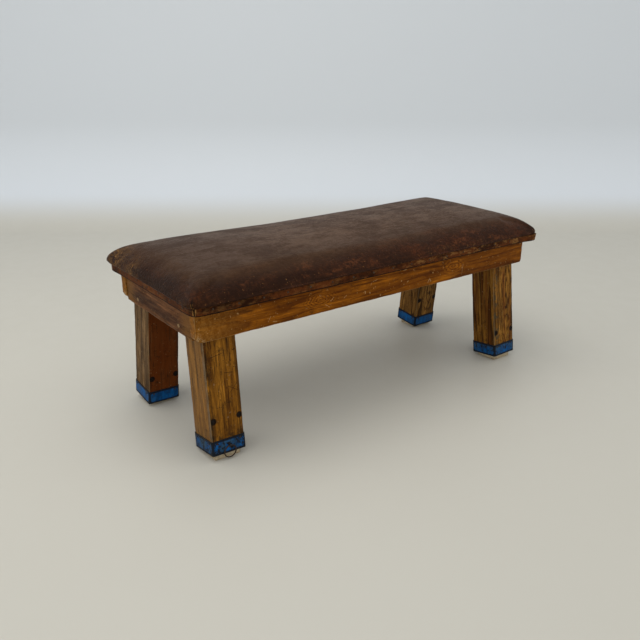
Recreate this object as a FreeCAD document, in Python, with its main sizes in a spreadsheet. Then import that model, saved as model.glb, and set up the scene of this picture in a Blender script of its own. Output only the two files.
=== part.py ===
import FreeCAD, Part
import Sketcher
import os
import re

# A leather-topped gymnasium bench: four splayed posts carry a frame of rails, a boarded deck
# and a stuffed leather cushion.
# Frame: origin on the floor under the middle of the bench, +X along its length to the right,
# +Y to the back, +Z up. Millimetres.

SIZES = (
    # rails
    ("rail_length", 1150, "length of the two long rails"),
    ("frame_width", 423, "frame width over the long rails"),
    ("rail_thick", 25, "thickness of a long rail"),
    ("rail_height", 76, "height of all the rails"),
    ("rail_corner_worn", 20, "radius of the worn lower corner at the left end"),
    ("rail_corner_crisp", 9, "radius of the lower corner at the right end"),
    ("rail_arris", 2, "rounding of the rails' outer edges"),
    ("end_thick", 21, "thickness of an end rail"),
    ("end_inset", 4.5, "how far the long rails run past the end rails"),
    # legs
    ("leg_side", 90, "side of the square posts"),
    ("leg_drop", 297.9, "height from a post's lower end to the rails"),
    ("leg_round", 3, "rounding of the posts' long edges"),
    ("lean_side", 6.69, "degrees a post leans out towards front or back"),
    ("lean_end", 1.01, "degrees a post leans out towards its end"),
    ("shoulder_side", 9.3, "shoulder under a long rail"),
    ("shoulder_end", 1.4, "shoulder under an end rail"),
    # shoe bands, foot pads and the pins above them
    ("band_height", 37.6, "height of the painted shoe band"),
    ("band_thick", 1.5, "sheet thickness of the band"),
    ("pad_height", 12.9, "pad height at the middle of the post"),
    ("pad_side", 71, "side of the square foot pad"),
    ("pad_round", 3, "rounding of the pad's upright edges"),
    ("pin_dia", 10.5, "cross pins near the foot"),
    ("pin_offset", 35.5, "pin axis from the middle of the post"),
    ("pin_height_front_left", 88, "pin axes above the post's lower end, front left"),
    ("pin_height_back_left", 78, "the same, back left"),
    ("pin_height_front_right", 77, "the same, front right"),
    ("pin_height_back_right", 100, "the same, back right"),
    ("pin_recess", 1.5, "how far a pin lies under the face"),
    # bearers and deck
    ("bearer_thick", 35, "thickness of the cross bearers"),
    ("deck_over_end", 10.5, "deck overhang past the long rails' ends"),
    ("deck_over_side", 23.5, "deck overhang past the long rails' faces"),
    ("deck_thick", 22, "thickness of the deck boards"),
    ("deck_round", 15, "plan radius of the deck's corners"),
    ("board_gap", 1, "gap between deck boards"),
    ("board_count", 3, "number of deck boards"),
    # cushion and its edge strips
    ("hide_thick", 2.5, "leather thickness"),
    ("cushion_rise", 63.2, "crown height above the deck"),
    ("bulge_end", 11, "bulge past the deck edge at the ends"),
    ("bulge_side", 9.5, "bulge past the deck edge at the sides"),
    ("bulge_round", 5, "radius under the bulge"),
    ("cushion_round", 38, "plan radius of the cushion's corners"),
    ("crown_round", 34, "radius of the crown's edge"),
    ("padding_gap", 0.3, "clearance between padding and hide"),
    ("strip_height", 20, "height of the edge strip"),
    ("strip_thick", 2.5, "thickness of the edge strip"),
    ("strip_slit", 2.4, "slit between two strips at a corner"),
    # fasteners
    ("dowel_dia", 10, "wooden dowels"),
    ("dowel_length", 30, "length of a dowel"),
    ("screw_dia", 5.5, "wood screw shank"),
    ("screw_head_dia", 10, "wood screw head"),
    ("screw_slot", 1.2, "width and depth of the screw slot"),
    ("screw_sink", 1, "counterbore above a sunk head"),
    ("frame_screw_length", 70, "screws through end rails and bearers"),
    ("deck_screw_length", 45, "screws through the deck"),
    ("screw_edge", 12, "outer deck screws from the long rails"),
    ("pad_screw_length", 35, "screws through the foot pads"),
    ("end_screw_offset", 118.5, "end rail screws from the middle"),
    ("end_screw_height", 18, "end rail screws above the rail's underside"),
    ("tack_shank_dia", 1.5, "shank of tacks and band nails"),
    ("tack_length", 12, "length of a tack under its head"),
    ("tack_head_dia", 5, "head of a strip tack"),
    ("tack_head_rise", 1.4, "height of a tack head"),
    ("tack_margin", 45, "first tack from the deck's end"),
    ("tack_count_side", 17, "tacks along a side"),
    ("tack_count_end", 7, "tacks along an end"),
    ("nail_spread", 32, "band nails from the middle of a face"),
    ("nail_height", 30, "band nails above the post's lower end"),
    # hanging ring
    ("ring_mean_radius", 16, "radius of the ring's centre line"),
    ("ring_wire_dia", 3, "ring wire"),
    ("ring_clearance", 0.3, "clearance round the ring's wire"),
    ("ring_pivot_height", 19, "pivot above the post's lower end"),
    ("staple_wire_dia", 2.5, "staple wire"),
    ("staple_bite", 14, "how deep the staple goes into the post"),
)

RAIL_BOTTOM = "(pad_height + leg_drop)"
RAIL_TOP = "(pad_height + leg_drop + rail_height)"
DECK_TOP = "(pad_height + leg_drop + rail_height + deck_thick)"
DECK_LENGTH = "(rail_length + 2 * deck_over_end)"
DECK_WIDTH = "(frame_width + 2 * deck_over_side)"
SIDE_INNER = "(frame_width / 2 - rail_thick)"
END_OUTER = "(rail_length / 2 - end_inset)"
END_INNER = "(rail_length / 2 - end_inset - end_thick)"
LEG_HALF_X = "(leg_side / 2 / cos(lean_end))"
LEG_HALF_Y = "(leg_side / 2 / cos(lean_side))"
# the middle of a post where it meets the rails' underside, and at its lower end
LEG_TOP_X = f"({END_INNER} + shoulder_end - {LEG_HALF_X})"
LEG_TOP_Y = f"({SIDE_INNER} + shoulder_side - {LEG_HALF_Y})"
LEG_FOOT_X = f"({LEG_TOP_X} + leg_drop * tan(lean_end))"
LEG_FOOT_Y = f"({LEG_TOP_Y} + leg_drop * tan(lean_side))"
LEG_BLANK = "((leg_drop + rail_height) / cos(lean_side) / cos(lean_end) + leg_side / 2)"
BEARER_OUTER = f"({LEG_TOP_X} - {LEG_HALF_X})"
BEARER_MIDDLE = f"({BEARER_OUTER} - bearer_thick / 2)"
PIVOT_OUT = "(leg_side / 2 + band_thick + ring_wire_dia / 2 + ring_clearance" \
            " + ring_pivot_height * tan(lean_side))"
STAPLE_RADIUS = "(ring_wire_dia / 2 + ring_clearance + staple_wire_dia / 2)"

ENDS = (("left", -1), ("right", 1))
SIDES = (("front", -1), ("back", 1))
FLAT = "rotationx(0)"
TOUCH = 1e-6

doc = FreeCAD.newDocument("bench")
nodes = []


def size(text):
    """Point every size named in an expression at its cell of the sheet."""
    return re.sub(r"\b[a-z]+_[a-z_]+\b", lambda match: "sizes." + match.group(0), text)


def place(x, y, z, turn=FLAT):
    return f"placement(vector({x}; {y}; {z}); {turn})"


def make_sheet():
    sheet = doc.addObject("Spreadsheet::Sheet", "sizes")
    for row, (alias, value, note) in enumerate(SIZES, 1):
        sheet.set(f"A{row}", alias)
        sheet.set(f"B{row}", str(value))
        sheet.set(f"C{row}", note)
        sheet.setAlias(f"B{row}", alias)
    doc.recompute()
    return sheet


def count(alias):
    return int(getattr(doc.getObject("sizes"), alias))


def publish(name, item):
    """Give a finished sub-part the label that names its node."""
    item.Label = name
    nodes.append(item)
    return item


def outline(body, name, plane, points, base="0"):
    """A closed sketch of straight lines whose corners follow expressions."""
    sketch = body.newObject("Sketcher::SketchObject", name)
    support = [item for item in body.Origin.OriginFeatures if item.Role == plane]
    sketch.AttachmentSupport = [(support[0], "")]
    sketch.MapMode = "FlatFace"
    sketch.setExpression("AttachmentOffset.Base.z", size(base))
    corners = []
    for across, up in points:
        u = float(sketch.evalExpression(size(across)))
        v = float(sketch.evalExpression(size(up)))
        corners.append(FreeCAD.Vector(u, v, 0))
    last = len(corners)
    for index in range(last):
        sketch.addGeometry(Part.LineSegment(corners[index], corners[(index + 1) % last]), False)
    for index in range(last):
        sketch.addConstraint(Sketcher.Constraint("Coincident", index, 2, (index + 1) % last, 1))
    for index, (corner, texts) in enumerate(zip(corners, points)):
        for axis, value, text in (("X", corner.x, texts[0]), ("Y", corner.y, texts[1])):
            rule = Sketcher.Constraint("Distance" + axis, -1, 1, index, 1, value)
            number = sketch.addConstraint(rule)
            label = f"corner{index}{axis}"
            sketch.renameConstraint(number, label)
            sketch.setExpression(f"Constraints.{label}", size(text))
    return sketch


def add_pad(body, name, points, base, height):
    pad = body.newObject("PartDesign::Pad", name + "_pad")
    pad.Profile = outline(body, name + "_plan", "XY_Plane", points, base)
    pad.setExpression("Length", size(height))
    doc.recompute()
    return pad


def prism(name, points, base, height):
    body = doc.addObject("PartDesign::Body", name)
    add_pad(body, name, points, base, height)
    return body


def rectangle(x_low, x_high, y_low, y_high):
    return ((x_low, y_low), (x_high, y_low), (x_high, y_high), (x_low, y_high))


def centred(length, width):
    return rectangle(f"-({length}) / 2", f"({length}) / 2", f"-({width}) / 2", f"({width}) / 2")


def round_edges(body, name, radius, chosen):
    """Round the edges of a body whose boxes pass the test."""
    tip = body.Tip
    picked = [f"Edge{number}" for number, edge in enumerate(tip.Shape.Edges, 1)
              if chosen(edge.BoundBox)]
    fillet = body.newObject("PartDesign::Fillet", name)
    fillet.Base = (tip, picked)
    fillet.setExpression("Radius", size(radius))
    doc.recompute()
    return fillet


def upright(box):
    return box.XLength < TOUCH and box.YLength < TOUCH


def post(name, side, radius, base, height):
    """A square prism about the Z axis with rounded upright edges."""
    body = prism(name, centred(side, side), base, height)
    round_edges(body, name + "_round", radius, upright)
    return body


def turned(name, profile):
    """A body turned about the Z axis from (radius, height) points."""
    body = doc.addObject("PartDesign::Body", name)
    turning = body.newObject("PartDesign::Revolution", name + "_turning")
    turning.Profile = outline(body, name + "_profile", "XZ_Plane", profile)
    turning.ReferenceAxis = (turning.Profile[0], ["V_Axis"])
    turning.Angle = 360
    doc.recompute()
    return body


def copies(name, master, places):
    """Separate copies of one master, gathered as a group of solids."""
    links = []
    for index, where in enumerate(places, 1):
        link = doc.addObject("App::Link", f"{name}_{index}")
        link.LinkedObject = master
        link.setExpression("Placement", size(where))
        links.append(link)
    group = doc.addObject("Part::Compound", name + "_group")
    group.Links = links
    doc.recompute()
    return group


def boolean(kind, name, base, tool):
    item = doc.addObject(kind, name)
    item.Base = base
    item.Tool = tool
    doc.recompute()
    return item


def cut(name, base, tools):
    for index, tool in enumerate(tools, 1):
        base = boolean("Part::Cut", f"{name}_cut_{index}", base, tool)
    return base


def block(name, length, width, height, where):
    box = doc.addObject("Part::Box", name)
    for side, text in (("Length", length), ("Width", width), ("Height", height)):
        box.setExpression(side, size(text))
    box.setExpression("Placement", size(where))
    doc.recompute()
    return box


def leg_frame(end, side):
    """Placement of a post: its lower end's middle, leaning out to its corner."""
    turn = f"rotationy({-end} * lean_end) * rotationx({side} * lean_side)"
    return place(f"{end} * {LEG_FOOT_X}", f"{side} * {LEG_FOOT_Y}", "pad_height", turn)


def corners():
    for end_name, end in ENDS:
        for side_name, side in SIDES:
            yield f"{side_name}_{end_name}", end, side


# --- fasteners -----------------------------------------------------------------------------

def make_screw(name, length):
    """A slotted countersunk screw, and the blank that cuts its hole."""
    shank = "screw_dia / 2"
    head = "screw_head_dia / 2"
    under_head = "(screw_dia - screw_head_dia) / 2"
    point = (("0", f"-{length}"), (shank, f"-{length} + screw_dia"), (shank, under_head))
    solid = turned(name, point + ((head, "0"), ("0", "0")))
    hole = turned(name + "_hole", point + ((head, "0"), (head, "screw_sink"), ("0", "screw_sink")))
    corner = place("-screw_head_dia", "-screw_slot / 2", "-screw_slot")
    slot = block(name + "_slot", "2 * screw_head_dia", "screw_slot", "2 * screw_slot", corner)
    return cut(name + "_slotted", solid, [slot]), hole


def make_nail(name):
    """A small dome-headed tack with its head's underside at the origin."""
    shank = "tack_shank_dia / 2"
    head = "tack_head_dia / 2"
    return turned(name, (
        ("0", "-tack_length"), (shank, "-tack_length + tack_shank_dia"), (shank, "0"),
        (head, "0"), (head, "tack_head_rise / 3"), (f"{head} * 0.6", "tack_head_rise * 0.85"),
        ("0", "tack_head_rise")))


def make_rod(name, dia, length):
    """A plain round rod along Z with its middle at the origin and chamfered ends."""
    radius = f"{dia} / 2"
    bevel = f"{dia} / 12"
    half = f"({length}) / 2"
    return turned(name, (
        ("0", f"-{half}"), (f"{radius} - {bevel}", f"-{half}"), (radius, f"-{half} + {bevel}"),
        (radius, f"{half} - {bevel}"), (f"{radius} - {bevel}", half), ("0", half)))


def dowel_places():
    """Dowels into the long rails from the posts, end rails and bearers (those under the screws)."""
    leg_places = []
    corner_places = []
    bearer_places = []
    for side in (-1, 1):
        inner = f"{side} * {SIDE_INNER}"
        for end in (-1, 1):
            for step in (-1, 1):
                height = f"{RAIL_BOTTOM} + rail_height * {0.5 + 0.2 * step}"
                leg_x = f"{end} * ({LEG_TOP_X} + {step} * leg_side / 4)"
                leg_places.append(place(leg_x, inner, height, "rotationx(90)"))
                end_x = f"{end} * ({END_OUTER} - end_thick / 2)"
                corner_places.append(place(end_x, inner, height, "rotationx(90)"))
        for row in (-1, 0, 1):
            for step in (-1, 1):
                height = f"{RAIL_BOTTOM} + rail_height * {0.375 + 0.175 * step}"
                middle = f"{row} * {BEARER_MIDDLE}"
                bearer_places.append(place(middle, inner, height, "rotationx(90)"))
    return leg_places, corner_places, bearer_places


def end_screw_places():
    height = f"{RAIL_BOTTOM} + end_screw_height"
    return [place(f"{end} * {END_OUTER}", f"{side} * end_screw_offset", height,
                  f"rotationy({90 * end})")
            for _, end in ENDS for _, side in SIDES]


def bearer_screw_places():
    inner_face = f"({BEARER_OUTER} - bearer_thick)"
    height = f"{RAIL_BOTTOM} + rail_height / 2"
    return [place(f"{end} * {inner_face}", f"{side} * ({LEG_TOP_Y} + {step} * leg_side / 6)",
                  height, f"rotationy({-90 * end})")
            for _, end in ENDS for _, side in SIDES for step in (-1, 1)]


def board_width():
    boards = count("board_count")
    return f"(({DECK_WIDTH} - {boards - 1} * board_gap) / {boards})"


def board_middle(index):
    return f"(-{DECK_WIDTH} / 2 + {index} * ({board_width()} + board_gap) + {board_width()} / 2)"


def deck_screw_places():
    """Two screws where each board crosses a bearer; the outer ones keep inside the long rails."""
    boards = count("board_count")
    across = []
    for index in range(boards):
        for step in (-1, 1):
            across.append(f"({board_middle(index)} + {step} * {board_width()} / 4)")
    across[0] = f"(screw_edge - {SIDE_INNER})"
    across[-1] = f"({SIDE_INNER} - screw_edge)"
    return [place(f"{row} * {BEARER_MIDDLE}", y, DECK_TOP) for row in (-1, 0, 1) for y in across]


def pad_screw_places():
    return [place(f"{end} * {LEG_FOOT_X}", f"{side} * {LEG_FOOT_Y}", "screw_sink", "rotationx(180)")
            for _, end, side in corners()]


def pin_places(name, end, side):
    frame = leg_frame(end, side)
    height = f"pin_height_{name}"
    return [frame + " * " + place(f"{step} * pin_offset", "0", height, "rotationx(90)")
            for step in (-1, 1)]


def nail_places(end, side):
    """Two nails through each face of a shoe band."""
    frame = leg_frame(end, side)
    out = "(leg_side / 2 + band_thick)"
    places = []
    for step in (-1, 1):
        along = f"{step} * nail_spread"
        for face in (-1, 1):
            away = f"{face} * {out}"
            places.append(frame + " * " + place(away, along, "nail_height", f"rotationy({90 * face})"))
            places.append(frame + " * " + place(along, away, "nail_height", f"rotationx({-90 * face})"))
    return places


def tack_places(side_name, sign):
    """An even row of tacks through one edge strip."""
    height = f"{RAIL_TOP} + strip_height * 0.6"
    along_side = side_name in ("front", "back")
    span, depth = (DECK_LENGTH, DECK_WIDTH) if along_side else (DECK_WIDTH, DECK_LENGTH)
    out = f"{sign} * ({depth} / 2 + hide_thick + strip_thick)"
    number = count("tack_count_side" if along_side else "tack_count_end")
    places = []
    for index in range(number):
        along = f"(({span} - 2 * tack_margin) * {index / (number - 1) - 0.5})"
        if along_side:
            places.append(place(along, out, height, f"rotationx({-90 * sign})"))
        else:
            places.append(place(out, along, height, f"rotationy({90 * sign})"))
    return places


# --- frame ---------------------------------------------------------------------------------

def long_rail(side_name, side):
    """A long rail with rounded lower corners and eased outer edges."""
    outer = f"{side} * frame_width / 2"
    inner = f"{side} * {SIDE_INNER}"
    across = (outer, inner) if side < 0 else (inner, outer)
    edges = rectangle("-rail_length / 2", "rail_length / 2", *across)
    body = prism(f"rail_blank_{side_name}", edges, RAIL_BOTTOM, "rail_height")
    bottom = body.Shape.BoundBox.ZMin
    face = body.Shape.BoundBox.YMin if side < 0 else body.Shape.BoundBox.YMax

    def lower_corner(box, end):
        low = abs(box.ZMax - bottom) < TOUCH and box.YLength > TOUCH
        return low and box.XLength < TOUCH and box.XMin * end > 0

    round_edges(body, f"worn_corner_{side_name}", "rail_corner_worn", lambda box: lower_corner(box, -1))
    round_edges(body, f"crisp_corner_{side_name}", "rail_corner_crisp", lambda box: lower_corner(box, 1))
    round_edges(body, f"rail_arris_{side_name}", "rail_arris",
                lambda box: abs(box.YMin - face) < TOUCH and abs(box.YMax - face) < TOUCH)
    return body


def end_rail(end_name, end):
    outer = f"{end} * {END_OUTER}"
    inner = f"{end} * {END_INNER}"
    across = (outer, inner) if end < 0 else (inner, outer)
    edges = rectangle(*across, f"-{SIDE_INNER}", SIDE_INNER)
    return prism(f"end_blank_{end_name}", edges, RAIL_BOTTOM, "rail_height")


def bearer(name, x_low, x_high):
    return prism(name, rectangle(x_low, x_high, f"-{SIDE_INNER}", SIDE_INNER),
                 RAIL_BOTTOM, "rail_height")


def cushion_form(name, skin):
    """The cushion's form at a given distance outside the deck's edge: neck, then bulge."""
    neck = prism(name, centred(f"{DECK_LENGTH} + 2 * ({skin})", f"{DECK_WIDTH} + 2 * ({skin})"),
                 RAIL_TOP, f"strip_height + hide_thick + bulge_round")
    round_edges(neck, name + "_neck_round", f"deck_round + ({skin})", upright)
    bulge_base = f"({RAIL_TOP} + strip_height + hide_thick - ({skin}))"
    bulge_top = f"({DECK_TOP} + cushion_rise - hide_thick + ({skin}))"
    add_pad(neck, name + "_bulge",
            centred(f"{DECK_LENGTH} + 2 * (bulge_end + {skin})",
                    f"{DECK_WIDTH} + 2 * (bulge_side + {skin})"),
            bulge_base, f"{bulge_top} - {bulge_base}")
    widest = neck.Shape.BoundBox

    def bulge_corner(box):
        return upright(box) and abs(abs(box.XMin) - widest.XMax) < TOUCH

    round_edges(neck, name + "_corner", f"cushion_round + ({skin})", bulge_corner)
    base = min(vertex.Point.z for vertex in neck.Shape.Vertexes
               if abs(vertex.Point.y - widest.YMax) < TOUCH)

    def under_bulge(box):
        level = box.ZLength < TOUCH and abs(box.ZMin - base) < TOUCH
        at_end = max(box.XMax, -box.XMin) > widest.XMax - TOUCH
        at_side = max(box.YMax, -box.YMin) > widest.YMax - TOUCH
        return level and (at_end or at_side)

    round_edges(neck, name + "_under", f"bulge_round + ({skin}) - hide_thick", under_bulge)
    round_edges(neck, name + "_crown", f"crown_round + ({skin}) - hide_thick",
                lambda box: box.ZLength < TOUCH and abs(box.ZMin - widest.ZMax) < TOUCH)
    return neck


def strip_zone(side_name, sign):
    """The trapezium, mitred at the deck's corners, that holds one edge strip."""
    reach = "(2 * deck_round + hide_thick + strip_thick)"
    corner_x = f"({DECK_LENGTH} / 2 - deck_round)"
    corner_y = f"({DECK_WIDTH} / 2 - deck_round)"
    slit = "(strip_slit / 2 * 1.4142)"
    along_side = side_name in ("front", "back")
    inner, level = (corner_x, corner_y) if along_side else (corner_y, corner_x)
    outer, far = f"({inner} + {reach})", f"({level} + {reach})"
    points = [(f"-{inner} + {slit}", level), (f"-{outer} + {slit}", far),
              (f"{outer} - {slit}", far), (f"{inner} - {slit}", level)]
    if along_side:
        shape = [(along, f"{sign} * {away}") for along, away in points]
    else:
        shape = [(f"{sign} * {away}", along) for along, away in points]
    return prism(f"strip_zone_{side_name}", shape, RAIL_TOP, "strip_height")


# --- assembly ------------------------------------------------------------------------------

def build():
    make_sheet()

    frame_screw, frame_screw_hole = make_screw("frame_screw", "frame_screw_length")
    deck_screw, deck_screw_hole = make_screw("deck_screw", "deck_screw_length")
    pad_screw, pad_screw_hole = make_screw("pad_screw", "pad_screw_length")
    tack = make_nail("tack")
    dowel = make_rod("dowel", "dowel_dia", "dowel_length")
    pin = make_rod("pin", "pin_dia", "leg_side - 2 * pin_recess")
    pin_bore = turned("pin_bore", (("0", "-leg_side"), ("pin_dia / 2", "-leg_side"),
                                   ("pin_dia / 2", "leg_side"), ("0", "leg_side")))

    leg_places, corner_places, bearer_places = dowel_places()
    leg_dowels = publish("leg_dowels", copies("leg_dowels", dowel, leg_places))
    corner_dowels = publish("corner_dowels", copies("corner_dowels", dowel, corner_places))
    bearer_dowels = publish("bearer_dowels", copies("bearer_dowels", dowel, bearer_places))
    end_holes = copies("end_screw_holes", frame_screw_hole, end_screw_places())
    bearer_holes = copies("bearer_screw_holes", frame_screw_hole, bearer_screw_places())
    deck_holes = copies("deck_screw_holes", deck_screw_hole, deck_screw_places())
    pad_holes = copies("pad_screw_holes", pad_screw_hole, pad_screw_places())
    publish("end_rail_screws", copies("end_rail_screws", frame_screw, end_screw_places()))
    publish("bearer_screws", copies("bearer_screws", frame_screw, bearer_screw_places()))
    publish("deck_screws", copies("deck_screws", deck_screw, deck_screw_places()))
    publish("pad_screws", copies("pad_screws", pad_screw, pad_screw_places()))

    # the ring's pivot is plumb above the ring, just clear of the band's lower edge
    ring_frame = (leg_frame(-1, -1) + " * "
                  + place("0", f"-{PIVOT_OUT}", "ring_pivot_height"))
    staple = make_staple(ring_frame)
    plumb = "rotationx(lean_side) * rotationy(-lean_end)"
    ring = doc.addObject("Part::Torus", "ring_torus")
    ring.setExpression("Radius1", size("ring_mean_radius"))
    ring.setExpression("Radius2", size("ring_wire_dia / 2"))
    hang = place("0", "0", "-ring_mean_radius", "rotationx(90)")
    ring.setExpression("Placement", size(f"{ring_frame} * {place('0', '0', '0', plumb)} * {hang}"))
    doc.recompute()

    blanks = {name: long_rail(name, side) for name, side in SIDES}
    blanks.update({name: end_rail(name, end) for name, end in ENDS})
    for name, _ in SIDES:
        publish(f"long_rail_{name}", cut(f"long_rail_{name}", blanks[name],
                                         [leg_dowels, corner_dowels, bearer_dowels]))
    for name, _ in ENDS:
        publish(f"end_rail_{name}", cut(f"end_rail_{name}", blanks[name], [corner_dowels, end_holes]))

    above = block("above_rails", "2 * rail_length", "2 * frame_width", "rail_height",
                  place("-rail_length", "-frame_width", RAIL_TOP))
    leg_blanks = []
    pins = []
    nails = []
    for name, end, side in corners():
        frame = leg_frame(end, side)
        leg_blank = post(f"leg_blank_{name}", "leg_side", "leg_round", "0", LEG_BLANK)
        leg_blank.setExpression("Placement", size(frame))
        band_blank = post(f"band_blank_{name}", "leg_side + 2 * band_thick",
                          "leg_round + band_thick", "0", "band_height")
        band_blank.setExpression("Placement", size(frame))
        doc.recompute()
        leg_blanks.append(leg_blank)
        side_name, end_name = name.split("_")
        bores = copies(f"pin_bores_{name}", pin_bore, pin_places(name, end, side))
        band_nails = copies(f"band_nails_{name}", tack, nail_places(end, side))
        pins += pin_places(name, end, side)
        nails += nail_places(end, side)
        holes = [bores, band_nails, leg_dowels, end_holes, bearer_holes, pad_holes]
        band_holes = [leg_blank, band_nails]
        if (end, side) == (-1, -1):
            holes.append(staple)
            band_holes.append(staple)
        publish(f"leg_{name}", cut(f"leg_{name}", leg_blank,
                                   [above, blanks[side_name], blanks[end_name]] + holes))
        publish(f"leg_band_{name}", cut(f"leg_band_{name}", band_blank, band_holes))

        pad_blank = post(f"pad_blank_{name}", "pad_side", "pad_round", "0", "pad_height + pad_side")
        pad_blank.setExpression("Placement", size(place(f"{end} * {LEG_FOOT_X}",
                                                        f"{side} * {LEG_FOOT_Y}", "0")))
        over_pad = block(f"over_pad_{name}", "2 * leg_side", "2 * leg_side", "2 * leg_side",
                         frame + " * " + place("-leg_side", "-leg_side", "0"))
        publish(f"foot_pad_{name}", cut(f"foot_pad_{name}", pad_blank, [over_pad, pad_holes]))
    publish("leg_pins", copies("leg_pins", pin, pins))
    publish("band_nails", copies("band_nails", tack, nails))

    for end_name, end in ENDS:
        x_faces = [f"{end} * {BEARER_OUTER}", f"{end} * ({BEARER_OUTER} - bearer_thick)"]
        blank = bearer(f"bearer_blank_{end_name}", *(x_faces if end < 0 else x_faces[::-1]))
        near = leg_blanks[:2] if end < 0 else leg_blanks[2:]
        publish(f"bearer_{end_name}", cut(f"bearer_{end_name}", blank,
                                          near + [bearer_dowels, bearer_holes, deck_holes]))
    middle = bearer("bearer_blank_middle", "-bearer_thick / 2", "bearer_thick / 2")
    publish("bearer_middle", cut("bearer_middle", middle, [bearer_dowels, deck_holes]))

    outer_form = cushion_form("outer_form", "hide_thick")
    inner_form = cushion_form("inner_form", "0")
    padding_form = cushion_form("padding_form", "-padding_gap")
    strips_outer = prism("strips_outer", centred(f"{DECK_LENGTH} + 2 * (hide_thick + strip_thick)",
                                                 f"{DECK_WIDTH} + 2 * (hide_thick + strip_thick)"),
                         RAIL_TOP, "strip_height")
    round_edges(strips_outer, "strips_round", "deck_round + hide_thick + strip_thick", upright)
    strip_ring = cut("strip_ring", strips_outer, [outer_form])

    tack_rows = []
    for name, sign in SIDES + ENDS:
        row = copies(f"strip_tacks_{name}", tack, tack_places(name, sign))
        tack_rows.append(row)
        zone = strip_zone(name, sign)
        strip = boolean("Part::Common", f"edge_strip_{name}_part", strip_ring, zone)
        publish(f"edge_strip_{name}", cut(f"edge_strip_{name}", strip, [row]))
        publish(f"strip_tacks_{name}", row)

    deck = prism("deck_blank", centred(DECK_LENGTH, DECK_WIDTH), RAIL_TOP, "deck_thick")
    round_edges(deck, "deck_corners", "deck_round", upright)
    publish("leather_cover", cut("leather_cover", outer_form, [inner_form] + tack_rows))
    publish("padding", cut("padding", padding_form, [deck]))
    boards = count("board_count")
    for index in range(boards):
        zone = prism(f"board_zone_{index + 1}",
                     rectangle(f"-{DECK_LENGTH}", DECK_LENGTH,
                               f"{board_middle(index)} - {board_width()} / 2",
                               f"{board_middle(index)} + {board_width()} / 2"),
                     RAIL_TOP, "deck_thick")
        board = boolean("Part::Common", f"board_{index + 1}", deck, zone)
        publish(f"deck_board_{index + 1}", cut(f"deck_board_{index + 1}", board,
                                               [deck_holes] + tack_rows))

    publish("ring_staple", staple)
    publish("ring", ring)


def make_staple(ring_frame):
    """A wire staple round the ring's wire: half a hoop and two legs into the post."""
    hoop = doc.addObject("Part::Torus", "staple_hoop")
    hoop.setExpression("Radius1", size(STAPLE_RADIUS))
    hoop.setExpression("Radius2", size("staple_wire_dia / 2"))
    hoop.Angle3 = 180
    hoop.setExpression("Placement", size(f"{ring_frame} * " + place("0", "0", "0",
                                         "rotationy(90) * rotationz(180)")))
    whole = hoop
    for step in (-1, 1):
        prong = doc.addObject("Part::Cylinder", f"staple_prong_{'low' if step < 0 else 'high'}")
        prong.setExpression("Radius", size("staple_wire_dia / 2"))
        prong.setExpression("Height", size(f"{PIVOT_OUT} - leg_side / 2 + staple_bite"))
        prong.setExpression("Placement", size(f"{ring_frame} * " + place(
            "0", "0", f"{step} * {STAPLE_RADIUS}", "rotationx(-90)")))
        whole = boolean("Part::Fuse", f"staple_fuse_{prong.Name}", whole, prong)
    return whole


def check():
    faults = [item.Name for item in doc.Objects if {"Invalid", "Error"} & set(item.State)]
    for item in nodes:
        if item.Shape.isNull() or not item.Shape.isValid() or not item.Shape.Solids:
            faults.append(item.Label)
    if faults:
        raise RuntimeError("failed: " + ", ".join(faults))


def export():
    os.makedirs("parts", exist_ok=True)
    for item in nodes:
        item.Shape.exportStep(f"parts/{item.Label}.step")
        print(f"{item.Label}: {len(item.Shape.Solids)} solids, {item.Shape.Volume / 1000:.1f} cm3")


build()
doc.recompute()
check()
export()
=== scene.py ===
import math
from functools import partial

import bmesh
import bpy
from mathutils import Euler, Matrix, Vector, noise


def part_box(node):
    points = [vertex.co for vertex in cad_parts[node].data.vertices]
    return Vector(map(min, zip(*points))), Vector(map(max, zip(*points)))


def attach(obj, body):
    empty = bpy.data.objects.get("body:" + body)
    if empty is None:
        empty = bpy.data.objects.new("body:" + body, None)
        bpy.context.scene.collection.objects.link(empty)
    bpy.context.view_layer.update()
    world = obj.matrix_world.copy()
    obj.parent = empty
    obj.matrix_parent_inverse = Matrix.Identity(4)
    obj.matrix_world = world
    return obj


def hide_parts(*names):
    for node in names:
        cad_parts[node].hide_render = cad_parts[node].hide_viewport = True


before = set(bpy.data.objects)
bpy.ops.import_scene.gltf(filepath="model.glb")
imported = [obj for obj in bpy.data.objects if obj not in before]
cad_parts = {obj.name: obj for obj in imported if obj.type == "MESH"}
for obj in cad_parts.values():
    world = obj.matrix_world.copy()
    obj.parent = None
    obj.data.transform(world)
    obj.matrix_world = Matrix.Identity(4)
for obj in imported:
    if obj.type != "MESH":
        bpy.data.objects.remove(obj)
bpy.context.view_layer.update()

bl_info = {
    "name": "Gymnasium bench",
    "version": (1, 0, 0),
    "blender": (4, 5, 0),
    "location": "View3D > Sidebar > Bench",
    "description": "Builds the looks of a leather-topped gymnasium bench on its frame",
    "category": "Add Mesh",
}

MM = 0.001
TOUCHING = 1e-6
SHARP = math.radians(38)
GRAIN = "grain"
RIM = "rim"

ENDS = (("left", -1), ("right", 1))
SIDES = (("front", -1), ("back", 1))
POSTS = [(f"{side_name}_{end_name}", end, side)
         for end_name, end in ENDS for side_name, side in SIDES]

RAIL_LOW, RAIL_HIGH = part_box("long_rail_front")
COVER_LOW, COVER_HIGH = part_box("leather_cover")
DECK_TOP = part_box("deck_board_2")[1].z
DECK_HALF_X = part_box("deck_board_2")[1].x
DECK_HALF_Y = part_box("deck_board_3")[1].y
SIDE_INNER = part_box("long_rail_back")[0].y
END_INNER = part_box("end_rail_right")[0].x

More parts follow.
